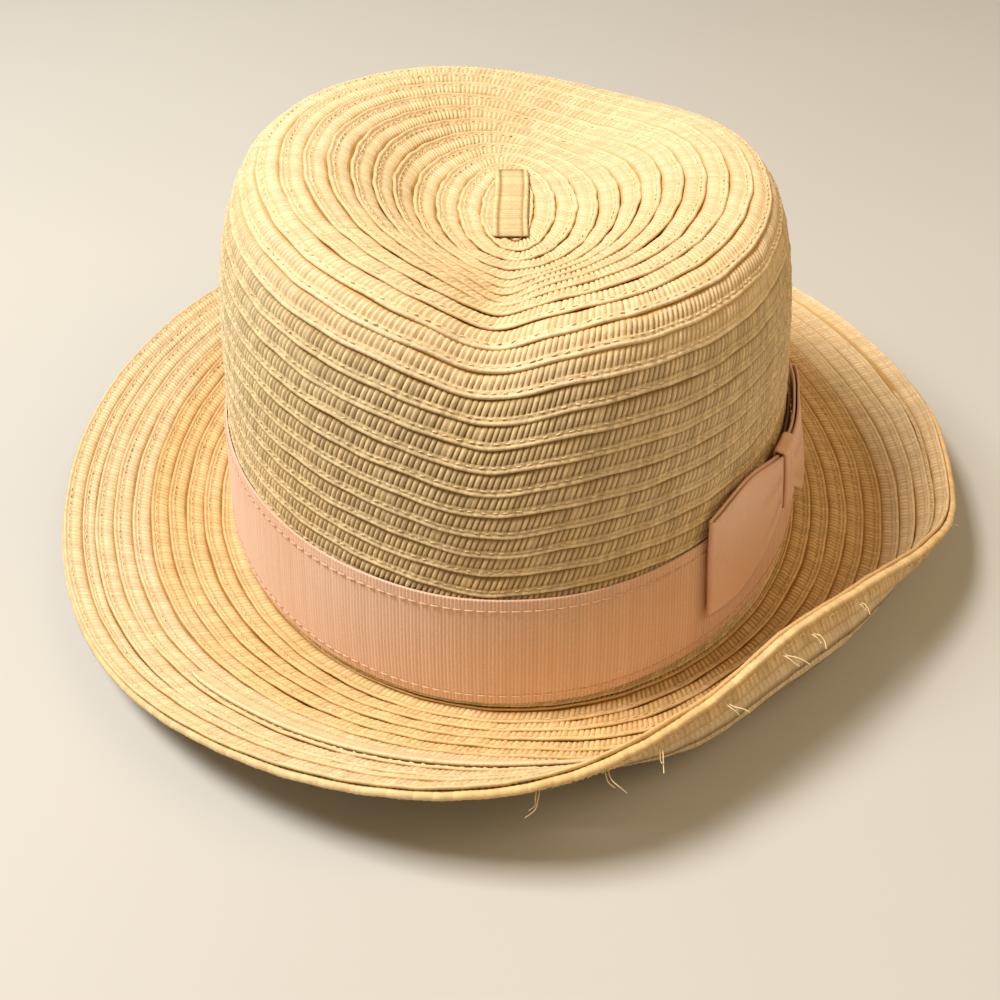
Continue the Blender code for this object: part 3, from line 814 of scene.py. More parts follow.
@dataclass
class BraidRun:
    """A run of braid laid round a surface, row against row."""

    surface: Meridians
    first: float
    pitch: float
    limit: float = 1.0
    spiral: bool = True
    section: BraidSection = BraidSection()
    rib: float = 1.43
    slant: float = 2.0
    start_angle: float = 180.0
    lift: float = 0.0
    seed: int = 1
    wobble: float = 0.035
    wobble_waves: tuple = (47.0, 83.0, 131.0, 29.0, 17.0, 11.3)
    swell: float = 0.16
    swell_waves: tuple = (9.0, 17.0, 41.0)
    least: float = 0.22
    pin_depth: float = 0.30
    shade_depth: float = 3.2
    rib_steps: tuple = (0.0, 0.50, 0.78)
    merged_share: float = 0.10
    line_step: float = 0.5

    def __post_init__(self) -> None:
        """Measure the run's middle line and place its ribs along it."""
        rng = np.random.default_rng(self.seed)
        turns = (self.limit - self.first) / self.pitch + 1.0 if self.spiral else 1.0
        theta = np.arange(0.0, 360.0 * turns + self.line_step / 2, self.line_step)
        theta = theta[self.width(theta) >= self.least * self.pitch]
        line = self.at(theta, self.inner(theta) + 0.5 * self.width(theta), 0.0) / MM
        run = np.concatenate(([0.0], np.cumsum(np.linalg.norm(np.diff(line, axis=0), axis=1))))
        ribs = max(8, int(round(run[-1] / self.rib)))
        place = (np.arange(ribs) + rng.uniform(-0.10, 0.10, ribs)) / ribs
        place[0] = 0.0
        after = np.append(place[1:], 1.0)
        shares = np.stack([place + (after - place) * step for step in self.rib_steps], -1).ravel()
        self.along = shares * run[-1]
        if self.spiral:
            self.along[-1] = run[-1]
        self.theta = np.interp(self.along, run, theta)
        self.speed = np.maximum(np.gradient(self.theta, self.along), 1e-4)
        strength = rng.uniform(0.5, 1.1, ribs)
        merged = rng.uniform(0.0, 1.0, ribs) < self.merged_share
        gap = np.where(merged, rng.uniform(0.3, 0.7, ribs), rng.uniform(1.1, 1.7, ribs))
        self.relief = np.stack((strength, strength * rng.uniform(0.75, 1.0, ribs), -gap), -1).ravel()
        # Painted shade: the gaps between ribs get a hollow mark that darkens their colour.
        self.hollow = np.stack((0 * gap, 0 * gap, np.clip(gap, 0.0, 1.2)), -1).ravel()
        self.strand = np.repeat(rng.uniform(0.0, 1.0, ribs), 3)
        # Some gap points are pinholes, sunk and painted dark as shade.
        self.pinhole = np.where(rng.uniform(0.0, 1.0, 3 * ribs) < 0.5, 1.0, 0.0) * (self.hollow > 0.5)
        self.run, self.line = run, theta

    def at(self, theta: Array, share: Array, lift: Array) -> Array:
        """Points of the surface at distances round the run, in degrees."""
        return self.surface.at(theta + self.start_angle, share, lift)

    def inner(self, theta: Array) -> Array:
        """Share of the row's inner edge; the first turn keeps to the start."""
        if not self.spiral:
            return self.first + 0.0 * theta
        return self.first + self.pitch * np.maximum(theta / 360.0 - 1.0, 0.0)

    def width(self, theta: Array) -> Array:
        """Width of the row as a share; it widens over the first turn and narrows over the last."""
        if not self.spiral:
            return self.pitch + 0.0 * theta
        return np.minimum(self.first + self.pitch * theta / 360.0, self.limit) - self.inner(theta)

    def sections(self, start: int, stop: int) -> tuple:
        """Points and marks of the stations from start to stop.

        Args:
            start: First station.
            stop: One past the last station; on a ring it may pass its end.

        Returns:
            Points, one row of the section after another, and their marks.
        """
        across, height, rib, deep = columns(self.section.points)
        pick = np.arange(start, stop) % len(self.theta)
        theta, along = self.theta[pick][:, None], self.along[pick][:, None]
        slant = self.slant * (0.5 - np.clip(across, 0.0, 1.0))[None]
        turn = theta + slant * self.speed[pick][:, None]
        if self.spiral:
            turn = np.clip(turn, self.theta[0], self.theta[-1])
        wave = self.wobble * slow_waves(theta, self.seed, self.wobble_waves)
        share = self.inner(turn) + (across[None] + wave) * self.width(turn)
        swell = self.swell * slow_waves(along, self.seed + 7, self.swell_waves)
        twist = 0.05 * np.sin(2.0 * np.pi * (along / 1.9 + across[None]))
        lift = self.lift + height[None] + rib[None] * self.relief[pick][:, None] + swell
        lift = lift + np.where(rib[None] <= 0.03, twist, 0.0) * (deep[None] < 0.1)
        pin = np.zeros_like(across)
        pin[self.section.pinhole_row] = 1.0
        lift = lift - self.pin_depth * pin[None] * self.pinhole[pick][:, None]
        points = self.at(turn, share, lift)
        # Painted shade from the depth mark, the rib gaps and the pinholes.
        mark = deep[None] + self.shade_depth * rib[None] * self.hollow[pick][:, None]
        mark = mark + pin[None] * self.pinhole[pick][:, None]
        return points.reshape(-1, 3), shell_marks(np.clip(mark, 0.0, 1.0), self.strand[pick][:, None], along)

    def piece(self, name: str, from_turn: float = 0.0, to_turn: Optional[float] = None) -> bpy.types.Object:
        """Mesh of the run between two turns.

        Args:
            name: Name of the piece.
            from_turn: Where it starts, in turns from the run's start.
            to_turn: Where it ends; the run's end if it isn't given.

        Returns:
            The piece, one closed strip.
        """
        start = int(np.searchsorted(self.theta, from_turn * 360.0))
        stop = len(self.theta) if to_turn is None else int(np.searchsorted(self.theta, to_turn * 360.0)) + 1
        stop = min(stop, len(self.theta))
        points, marks = self.sections(start, stop)
        faces = tube_faces(stop - start, len(self.section.points), not self.spiral)
        return one_shell(name, points, faces, marks)

    def stitches(self, shell: Shell, row: StitchLine, from_turn: float = 0.0,
                 to_turn: Optional[float] = None) -> None:
        """Add a line of machine stitches that holds the row.

        Args:
            shell: The mesh they are added to.
            row: Their place and sizes.
            from_turn: Where they start, in turns.
            to_turn: Where they end.
        """
        rng = np.random.default_rng(self.seed + 50)
        low = np.interp(from_turn * 360.0, self.line, self.run)
        high = self.run[-1] if to_turn is None else np.interp(to_turn * 360.0, self.line, self.run)
        middle = np.arange(low + row.space, high - row.space, row.space)
        middle = middle + rng.uniform(-0.2, 0.2, len(middle)) * row.space
        half = 0.5 * row.length * rng.uniform(0.75, 1.1, len(middle))
        sway = rng.uniform(-0.035, 0.035, len(middle))
        stations = []
        for end, rise, thick in ((-1.0, -0.8, 0.35), (-0.6, 0.3, 1.0), (0.6, 0.3, 1.0), (1.0, -0.8, 0.35)):
            theta = np.interp(middle + end * half, self.run, self.line)
            width_share = row.width * thick / self.surface.lengths(theta + self.start_angle) / 2
            share = self.inner(theta) + (row.across + sway * end) * self.width(theta)
            lift, half_width = self.lift + row.height + rise * row.width, 0.5 * row.width * thick
            corners = [(share - width_share, lift), (share, lift + half_width),
                       (share + width_share, lift), (share, lift - half_width)]
            stations.append(np.stack([self.at(theta, s, up) for s, up in corners], 1))
        add_stitches(shell, stations, rng.uniform(0.0, 1.0, len(middle)))


@dataclass
class StrawCrown:
    """Braid of the crown: its dished tip, its shoulder and wall, and the start of the spiral."""

    shape: HatShape
    rows: int = 29
    tip_share: float = 0.45
    start_share: float = 0.006
    button_width: float = 9.5
    button_length: float = 40.0
    button_lift: float = 0.75
    button_shift: tuple = (-0.8, 1.5)
    button_rib: float = 1.1
    button_outline: tuple = (
        (-0.50, -0.62, 0.0, 0.6), (-0.505, -0.15, 0.0, 0.5), (-0.46, 0.30, 0.0, 0.0), (-0.40, 0.34, 0.0, 0.0),
        (-0.34, -0.16, 0.0, 0.8), (-0.24, -0.02, 0.10, 0.0), (0.0, 0.06, 0.14, 0.0), (0.24, -0.02, 0.10, 0.0),
        (0.34, -0.16, 0.0, 0.8), (0.40, 0.34, 0.0, 0.0), (0.46, 0.30, 0.0, 0.0), (0.505, -0.15, 0.0, 0.5),
        (0.50, -0.62, 0.0, 0.6),
    )

    def build(self, finish: dict) -> None:
        """Make the crown's pieces.

        Args:
            finish: Materials by name.
        """
        pitch = (1.0 - self.start_share) / self.rows
        run = BraidRun(self.shape.crown, self.start_share, pitch, seed=11, wobble=0.09)
        tip = (self.tip_share - self.start_share) / pitch + 1.0
        splits = (("tip_inner", 0.0, tip - 4.0), ("tip_outer", tip - 4.0, tip), ("shoulder", tip, tip + 4.0),
                  ("upper_wall", tip + 4.0, tip + 8.0), ("lower_wall", tip + 8.0, tip + 12.0),
                  ("foot", tip + 12.0, None))
        for part, start, stop in splits:
            # The wall's rows take the copy of the straw with darker painted shade in its hollows.
            node, look = ("crown_tip", "straw") if part.startswith("tip") else ("crown_side", "straw_wall_shaded")
            declare(run.piece(f"crown_{part}_rows", start, stop), Body.HAT, Slot.STRAW, finish[look], (node,))
        shell = Shell()
        run.stitches(shell, StitchLine(), from_turn=1.5, to_turn=tip + 11.0)
        declare(shell.build("crown_row_stitches"), Body.HAT, Slot.THREAD, finish["thread"])
        self.build_button(finish)

    def build_button(self, finish: dict) -> None:
        """Make the short straight length of braid at the middle of the tip."""
        rng = np.random.default_rng(5)
        across, height, rib, deep = columns(self.button_outline)
        ribs = int(self.button_length / self.button_rib)
        along = np.linspace(-0.5, 0.5, 2 * ribs + 1)
        relief = np.where(np.arange(len(along)) % 2 == 0, 1.0, -1.0) * rng.uniform(0.3, 1.0, len(along))
        ends = 1.0 - np.clip((np.abs(along) - 0.475) / 0.025, 0.0, 1.0) ** 2 * 0.9
        bend = 0.35 * np.sin(along * 5.0)
        x = across[None] * self.button_width * (0.94 + 0.06 * ends)[:, None] + bend[:, None]
        y = np.broadcast_to(along[:, None] * self.button_length, x.shape)
        tip = self.shape.crown_height - self.shape.tip_depth + self.button_lift
        z = tip + (height[None] + rib[None] * relief[:, None]) * ends[:, None]
        mid, shift = self.shape.middle, self.button_shift
        points = np.stack((x + mid[0] + shift[0], y + mid[1] + shift[1], z), -1).reshape(-1, 3) * MM
        # Painted shade in the rib hollows and at the tucked ends.
        mark = np.clip(deep[None] + 3.0 * rib[None] * (relief < 0)[:, None] + (1 - ends)[:, None], 0, 1)
        marks = shell_marks(mark, rng.uniform(0, 1, len(along))[:, None])
        button = one_shell("crown_button_braid", points, tube_faces(len(along), len(across)), marks)
        # The button takes the same copy with darker painted shade.
        declare(button, Body.HAT, Slot.STRAW, finish["straw_wall_shaded"], ("crown_button",))


@dataclass
class StrawBrim:
    """Braid of the brim: its rows, its doubled edge, its short row and its loose threads."""

    shape: HatShape
    rows: int = 10
    edge_row_width: float = 6.5
    short_row: tuple = (-44.0, 17.0)
    short_row_from_edge: float = 16.9
    short_row_width: float = 4.6
    thread_ends: tuple = ((2, 6, 3), (9, 5, -3), (15, 6, 2), (24, 5, -2),
                          (33, 6, -2), (38, 5, 1), (47, 4, 2), (72, 4, -1))
    edge_depth: float = 3.6
    thread_radius: float = 0.12
    short_row_outline: tuple = (
        (-0.5, 0.25, 0.0, 0.6), (-0.5, 0.5, 0.02, 0.3), (-0.36, 0.72, 0.10, 0.0), (-0.1, 0.80, 0.13, 0.0),
        (0.14, 0.76, 0.10, 0.2), (0.26, 0.84, 0.03, 0.1), (0.34, 1.12, 0.0, 0.0), (0.42, 1.22, 0.0, 0.0),
        (0.5, 1.02, 0.0, 0.0), (0.52, 0.3, 0.0, 0.6),
    )

    def build(self, finish: dict) -> None:
        """Make the brim's pieces.

        Args:
            finish: Materials by name.
        """
        surface = self.shape.brim
        pitch = 1.0 / self.rows
        run = BraidRun(surface, 0.0, pitch, limit=1.0 - pitch, seed=23, wobble=0.08)
        # The inner rows take the more orange copy with darker painted shade in its hollows.
        splits = (("brim_root_rows", 0.0, 3.4, "straw_orange_deeper_shade"), ("brim_dish_rows", 3.4, 6.2, "straw_orange_deeper_shade"),
                  ("brim_fold_rows", 6.2, 8.4, "straw"), ("brim_lip_rows", 8.4, None, "straw"))
        for name, start, stop, look in splits:
            declare(run.piece(name, start, stop), Body.HAT, Slot.STRAW, finish[look], ("brim",))
        edge = BraidRun(surface, 1.0 - pitch, pitch, spiral=False, seed=31, wobble=0.01)
        declare(edge.piece("brim_edge_upper_row"), Body.HAT, Slot.STRAW, finish["straw"], ("brim",))
        share = self.edge_row_width / float(surface.length.mean())
        under = BraidRun(surface, 1.0 - share, share, spiral=False, seed=37, wobble=0.01,
                         section=EdgeSection())
        # The under row of the edge takes the same more orange copy with darker painted shade.
        declare(under.piece("brim_edge_lower_row"), Body.HAT, Slot.STRAW, finish["straw_orange_deeper_shade"],
                ("brim_edge_row",))
        shell = Shell()
        run.stitches(shell, StitchLine(), from_turn=1.5, to_turn=9.6)
        edge.stitches(shell, StitchLine())
        under.stitches(shell, StitchLine(across=0.72, height=-3.30, length=1.9, width=0.42))
        declare(shell.build("brim_row_stitches"), Body.HAT, Slot.THREAD, finish["thread"])
        self.build_short_row(finish)
        self.build_thread_ends(finish)

    def build_short_row(self, finish: dict) -> None:
        """Make the short row that ends on the front of the brim."""
        surface, rng = self.shape.brim, np.random.default_rng(8)
        across, height, rib, deep = columns(self.short_row_outline)
        start, end = self.short_row
        count = 2 * int((end - start) * 2.1)
        angle = np.linspace(start, end, count + 1)
        place = np.linspace(-1.0, 1.0, count + 1)
        relief = np.where(np.arange(count + 1) % 2 == 0, 1.0, -1.0) * rng.uniform(0.3, 1.1, count + 1)
        taper = np.sqrt(np.maximum(0.03, 1.0 - np.abs(place) ** 24))
        middle = 1.0 - self.short_row_from_edge / surface.lengths(angle)
        width = self.short_row_width * taper / surface.lengths(angle)
        share = middle[:, None] + across[None] * width[:, None]
        lift = height[None] * (0.35 + 0.65 * taper[:, None]) + rib[None] * relief[:, None]
        lean = 1.1 * (0.5 - across)[None] * 0.6
        points = surface.at(angle[:, None] + lean, share, lift).reshape(-1, 3)
        # Painted shade in the rib hollows.
        mark = np.clip(deep[None] + 3.2 * rib[None] * (relief < 0)[:, None], 0, 1)
        marks = shell_marks(mark, rng.uniform(0, 1, count + 1)[:, None])
        row = one_shell("brim_short_row_braid", points, tube_faces(count + 1, len(across)), marks)
        declare(row, Body.HAT, Slot.STRAW, finish["straw"], ("brim_short_row",))

    def build_thread_ends(self, finish: dict) -> None:
        """Make the ends and loops of clear thread that stand out under the edge."""
        surface = self.shape.brim
        for number, (angle, length, lean) in enumerate(self.thread_ends, start=1):
            share = 1.0 - 0.5 * self.edge_row_width / float(surface.lengths(np.array(float(angle))))
            foot = surface.at(angle, share, -self.edge_depth)
            down = surface.at(angle, share, -self.edge_depth - 1.0) - foot
            along = surface.at(angle, share + 0.02, -self.edge_depth) - foot
            down, along = (vector / np.linalg.norm(vector) for vector in (down, along))
            side = np.cross(down, along)
            shell = Shell()
            for strand in (0, 1):
                turn = np.linspace(0.0, 1.0, 13)[:, None]
                swing = side * lean * MM * (turn ** 2) * (1.0 if strand == 0 else 0.45)
                curl = along * MM * 1.5 * np.sin(turn * (3.0 + angle % 4) + strand) * turn
                curl = curl + side * MM * 0.5 * np.sin(turn * (5.0 + angle % 3)) * turn
                line = foot + down * MM * length * turn * (1.0 - 0.3 * turn * strand) + swing + curl
                line = line + side * MM * 0.35 * (2 * strand - 1)
                self.add_strand(shell, line, self.thread_radius)
            declare(shell.build(f"edge_thread_end_{number}"), Body.HAT, Slot.THREAD, finish["thread"],
                    (f"edge_thread_{number}",))

    @staticmethod
    def add_strand(shell: Shell, line: Array, radius: float) -> None:
        """Add a thin round strand.

        Args:
            shell: The mesh it is added to.
            line: Its middle line, in metres.
            radius: Half its thickness, in millimetres.
        """
        run = np.gradient(line, axis=0)
        run /= np.linalg.norm(run, axis=1)[:, None]
        side = np.cross(run, [0.0, 0.0, 1.0]) + 1e-9
        side /= np.linalg.norm(side, axis=1)[:, None]
        up = np.cross(side, run)
        turn = np.arange(6) * np.pi / 3
        ring = side[:, None] * np.cos(turn)[None, :, None] + up[:, None] * np.sin(turn)[None, :, None]
        points = (line[:, None] + ring * radius * MM).reshape(-1, 3)
        shell.add(points, outward(points, tube_faces(len(line), 6)))


# -------------------------------------------------------------------------------------- ribbon and bow


def ribbon_body(grid: Array, normal: Array, thickness: float, ring: bool) -> tuple:
    """Closed body of a sheet of an even thickness in millimetres, from its middle surface."""
    half = normal * thickness * MM / 2
    return sheet_body(grid + half, grid - half, ring)


def sheet_normals(grid: Array) -> Array:
    """Unit normals of a grid of points."""
    normal = np.cross(np.gradient(grid, axis=0), np.gradient(grid, axis=1))
    return normal / (np.linalg.norm(normal, axis=-1, keepdims=True) + 1e-12)


@dataclass
class RibbonBand:
    """Grosgrain ribbon around the crown's foot, and its two rows of stitching."""

    shape: HatShape
    bottom: float = 4.0
    top: float = 38.0
    rise: tuple = (60, 42, 4.0)
    gap: float = 0.3
    thickness: float = 0.6
    thread: float = 0.5
    stitch_inset: float = 3.0
    rib: float = 1.02
    waver: float = 0.30
    stitches: int = 190
    across: tuple = (0.0, 0.012, 0.03, 0.055, 0.09, 0.2, 0.35, 0.5,
                     0.65, 0.8, 0.91, 0.945, 0.97, 0.988, 1.0)

    def edges(self, angle: Array) -> tuple:
        """Heights of the ribbon's lower and upper edges."""
        lift = hump(angle, *self.rise)
        return self.bottom + lift, self.top + lift

    def build(self, finish: dict) -> None:
        """Make the band and its stitching.

        Args:
            finish: Materials by name.
        """
        round_mm = 2 * np.pi * (self.shape.half_width + self.shape.half_length) / 2
        ribs = int(round_mm / self.rib)
        angle = np.arange(3 * ribs) * 360.0 / (3 * ribs)
        low, high = self.edges(angle)
        share = np.array(self.across)
        wave = self.waver * slow_waves(angle, 3, RIBBON_WAVES)
        height = low[:, None] + (high - low)[:, None] * share[None] + wave[:, None]
        step = np.arange(3 * ribs) % 3
        edge = np.minimum(share, 1 - share) < 0.05
        sink = np.where(step == 2, 0.15, 0.0)[:, None] * np.where(edge, 1.3, 1.0)[None]
        slack = 0.16 * slow_waves(angle[:, None] + 40 * share[None], 9, (60.0, 36.0, 18.0)) + 0.16
        offset = self.gap + self.thickness - sink + slack * np.sin(np.pi * share)[None]
        outside = self.shape.on_wall(angle[:, None], height, offset)
        inside = self.shape.on_wall(angle[:, None], height, offset + sink - self.thickness + 0.05)
        points, faces = sheet_body(outside, inside, True)
        # Painted shade in every third row of points, the grooves between the grosgrain ribs.
        deep = np.where(step == 2, 0.55, 0.0)[:, None] * np.ones(2 * len(share))[None]
        light = np.random.default_rng(2).uniform(0.0, 1.0, ribs)[np.arange(3 * ribs) // 3]
        band = one_shell("hat_band_ribbon", points, faces, shell_marks(deep, light[:, None]))
        declare(band, Body.HAT, Slot.RIBBON, finish["ribbon"], ("hat_band",))
        lines = [self.build_stitches(finish, name, side) for name, side in
                 (("band_stitch_lower", 0), ("band_stitch_upper", 1))]

    def build_stitches(self, finish: dict, name: str, side: int) -> bpy.types.Object:
        """Make one row of long stitches just inside an edge.

        Args:
            finish: Materials by name.
            name: CAD node that they stand for.
            side: 0 for the lower edge, 1 for the upper.

        Returns:
            The row.
        """
        rng = np.random.default_rng(14 + side)
        space = 360.0 / self.stitches
        middle = np.arange(self.stitches) * space + rng.uniform(-0.12, 0.12, self.stitches)
        inset = self.stitch_inset * (1 - 2 * side)
        out = self.gap + self.thickness + 0.30
        stations = []
        for end, sink, thick in ((-1, 0.34, 0.4), (-0.75, 0.0, 1.0), (0.75, 0.0, 1.0), (1, 0.34, 0.4)):
            angle = middle + end * 0.40 * space
            level = self.edges(angle)[side] + inset + self.waver * slow_waves(angle, 3, RIBBON_WAVES)
            stations.append(np.stack([self.shape.on_wall(angle, level + up, out - sink + outwards)
                                      for up, outwards in diamond(0.5 * self.thread * thick * 0.8)], 1))
        shell = Shell()
        add_stitches(shell, stations)
        return declare(shell.build(f"{name}_thread"), Body.HAT, Slot.THREAD, finish["band_thread"], (name,))


@dataclass
class Bow:
    """Two flat loops of ribbon and the knot that holds them."""

    shape: HatShape
    knot_angle: float = 58.0
    knot_width: float = 9.0
    knot_flat: float = 10.0
    knot_height: float = 18.0
    knot_centre: float = 41.0
    gap: float = 0.3
    ribbon: float = 0.6
    thread: float = 0.5
    opening: float = 0.6
    ends: tuple = (34.5, 89.0)
    front_edges: tuple = (19.0, 48.0)
    back_edges: tuple = (12.0, 41.0)
    arch: float = 4.0
    hold: float = 2.0
    flare: float = 0.8
    settle: float = 1.3
    pinched: float = 0.85
    loop_steps: int = 34
    fold_steps: int = 9
    knot_corner: float = 1.0
    corner_steps: int = 6
    side_steps: int = 14

    def __post_init__(self) -> None:
        """Work out the layers' offsets from the wall."""
        self.standoff = (self.gap + self.ribbon + self.gap + self.thread + self.gap + self.ribbon
                         + self.gap)
        self.back = self.standoff + self.gap + self.ribbon / 2
        self.front = self.back + self.ribbon + self.opening
        self.radius = (self.front - self.back) / 2

    def arc_angle(self, length: float, angle: Optional[float] = None) -> float:
        """Angle round the hat that a length of the bow takes up."""
        angle = self.knot_angle if angle is None else angle
        reach = float(self.shape.wall_reach(angle, self.knot_centre)) + self.standoff
        turn = math.radians(angle)
        speed = math.hypot(reach * math.cos(turn), (reach + self.shape.core) * math.sin(turn))
        return math.degrees(length / speed)

    def loop_grid(self, free_end: float, edges: tuple, knot_side: int) -> tuple:
        """Middle surface of one loop.

        Args:
            free_end: Angle of its fold.
            edges: Heights of the ribbon's edges at the fold.
            knot_side: 1 when the knot lies towards larger angles, -1 when it lies towards smaller.

        Returns:
            The grid of points, and the painted shade of each in a crease.
        """
        way, (bottom, top) = -knot_side, edges
        tuck = self.knot_angle + way * self.arc_angle(self.knot_width / 2 - self.hold)
        mouth = self.knot_angle + way * self.arc_angle(self.knot_width / 2 + self.gap)
        bend = self.arc_angle(self.radius, free_end)
        last = free_end - way * bend
        low0 = self.knot_centre - self.knot_height / 2 + self.ribbon + 2 * self.gap
        high0 = self.knot_centre + self.knot_height / 2 - self.ribbon - 2 * self.gap
        steps, fold = np.linspace(0.0, 1.0, self.loop_steps), self.fold_steps
        flare = np.sin(np.minimum(1.0, steps / self.flare) * np.pi / 2)
        angles = np.concatenate(([tuck], mouth + (last - mouth) * steps))
        lows = np.concatenate(([low0], low0 + (bottom - low0) * flare))
        highs = np.concatenate(([high0], high0 + (top - high0) * flare + self.arch * np.sin(np.pi * steps)))
        reach = np.concatenate(([0.0], steps))
        turn = np.pi * np.arange(1, fold + 1) / (fold + 1)
        angle = np.concatenate((angles, last + way * bend * np.sin(turn), angles[::-1]))
        side = len(angles)
        offset = np.concatenate((np.full(side, self.back), self.back + self.radius * (1 - np.cos(turn)),
                                 np.full(side, self.front)))
        low = np.concatenate((lows, np.full(fold, bottom), lows[::-1]))
        high = np.concatenate((highs, np.full(fold, top), highs[::-1]))
        away = np.concatenate((reach, np.ones(fold), reach[::-1]))
        layer = np.concatenate((np.zeros(side), np.linspace(0, 1, fold), np.ones(side)))
        v = np.linspace(0.0, 1.0, 25)
        height = low[:, None] + (high - low)[:, None] * v[None]
        pleat = 0.24 * np.cos(v[None] * 5.0 * np.pi) * np.exp(-away / 0.22)[:, None] * (away > 0)[:, None]
        puff = 0.6 * np.sin(np.pi * np.clip(away * 1.05, 0, 1))[:, None] * np.sin(np.pi * v)[None]
        dip = 0.25 * slow_waves(v[None] * 60 + away[:, None] * 45, 21 + knot_side, (35.0, 60.0, 90.0))
        move = pleat + (puff + dip * np.minimum(1, 4 * away)[:, None]) * layer[:, None]
        settle = self.settle * smooth_step(away / 0.6)[:, None]
        grid = self.shape.on_wall(angle[:, None], height, offset[:, None] + move - settle)
        # Painted shade in the pleats' creases.
        crease = np.clip(-2.0 * pleat, 0.0, 0.6)
        return grid, crease

    def build(self, finish: dict) -> None:
        """Make the loops and the knot.

        Args:
            finish: Materials by name.
        """
        loops = (("bow_front_loop", self.ends[0], self.front_edges, 1, Body.FRONT_LOOP),
                 ("bow_back_loop", self.ends[1], self.back_edges, -1, Body.BACK_LOOP))
        for node, free_end, edges, side, body in loops:
            grid, crease = self.loop_grid(free_end, edges, side)
            run = np.linalg.norm(np.diff(grid[:, 12], axis=0), axis=1).sum()
            points, faces = ribbon_body(grid, sheet_normals(grid), self.ribbon, False)
            piece = one_shell(f"{node}_ribbon", points, faces, shell_marks(both_sides(crease)))
            declare(piece, body, Slot.RIBBON, finish["bow"], (node,))
        self.build_knot(finish)

    def build_knot(self, finish: dict) -> None:
        """Make the narrow ribbon that wraps round the pinched middle."""
        inner = self.standoff - self.ribbon / 2 - self.gap
        outer = self.front + self.gap + self.ribbon
        low = self.knot_centre - self.knot_height / 2 + self.ribbon / 2
        high = self.knot_centre + self.knot_height / 2 - self.ribbon / 2
        corner, tall = self.knot_corner, high - low - 2 * self.knot_corner
        near, far, bottom, top = inner + corner, outer - corner, low + corner, high - corner
        corners = ((far, top, 0, None), (near, top, 90, (inner, top, -tall)),
                   (near, bottom, 180, None), (far, bottom, 270, (outer, bottom, tall)))
        outline = []
        for offset, level, start, side in corners:
            for step in range(self.corner_steps + 1):
                turn = math.radians(start + 90 * step / self.corner_steps)
                outline.append((offset + corner * math.cos(turn), level + corner * math.sin(turn)))
            if side:
                shares = [step / self.side_steps for step in range(1, self.side_steps)]
                outline += [(side[0], side[1] + side[2] * share) for share in shares]
        ring = np.array(outline)
        half = self.arc_angle(self.knot_width / 2)
        across = np.linspace(-1.0, 1.0, 19)
        fold = 0.16 * np.cos(across * 2.5 * np.pi) * (1 - across ** 2) - 0.5 * np.abs(across) ** 5
        front = (ring[:, 0] > self.front)[:, None]
        offset = ring[:, 0][:, None] + np.where(front, fold[None] + 0.2 * (1 - across[None] ** 2), 0.0)
        rise = (ring[:, 1] - low) / (high - low)
        narrow = 1.0 - 0.24 * np.sin(np.pi * np.clip(rise, 0.0, 1.0))
        angle = self.knot_angle + across[None] * half * narrow[:, None]
        height = np.broadcast_to(ring[:, 1][:, None], offset.shape)
        grid = self.shape.on_wall(angle, height, offset)
        closed = np.concatenate((grid[-1:], grid, grid[:1]))
        normal = sheet_normals(closed)[1:-1]
        points, faces = ribbon_body(grid, normal, self.ribbon, True)
        # Painted shade in the valleys of the knot's folds.
        deep = np.clip(np.broadcast_to(-fold[None] * 1.2, grid.shape[:2]), 0, 0.3) * front
        knot = one_shell("bow_knot_ribbon", points, faces, shell_marks(both_sides(deep)))
        declare(knot, Body.HAT, Slot.RIBBON, finish["bow"], ("bow_knot",))


# --------------------------------------------------------------------------------------------- inside


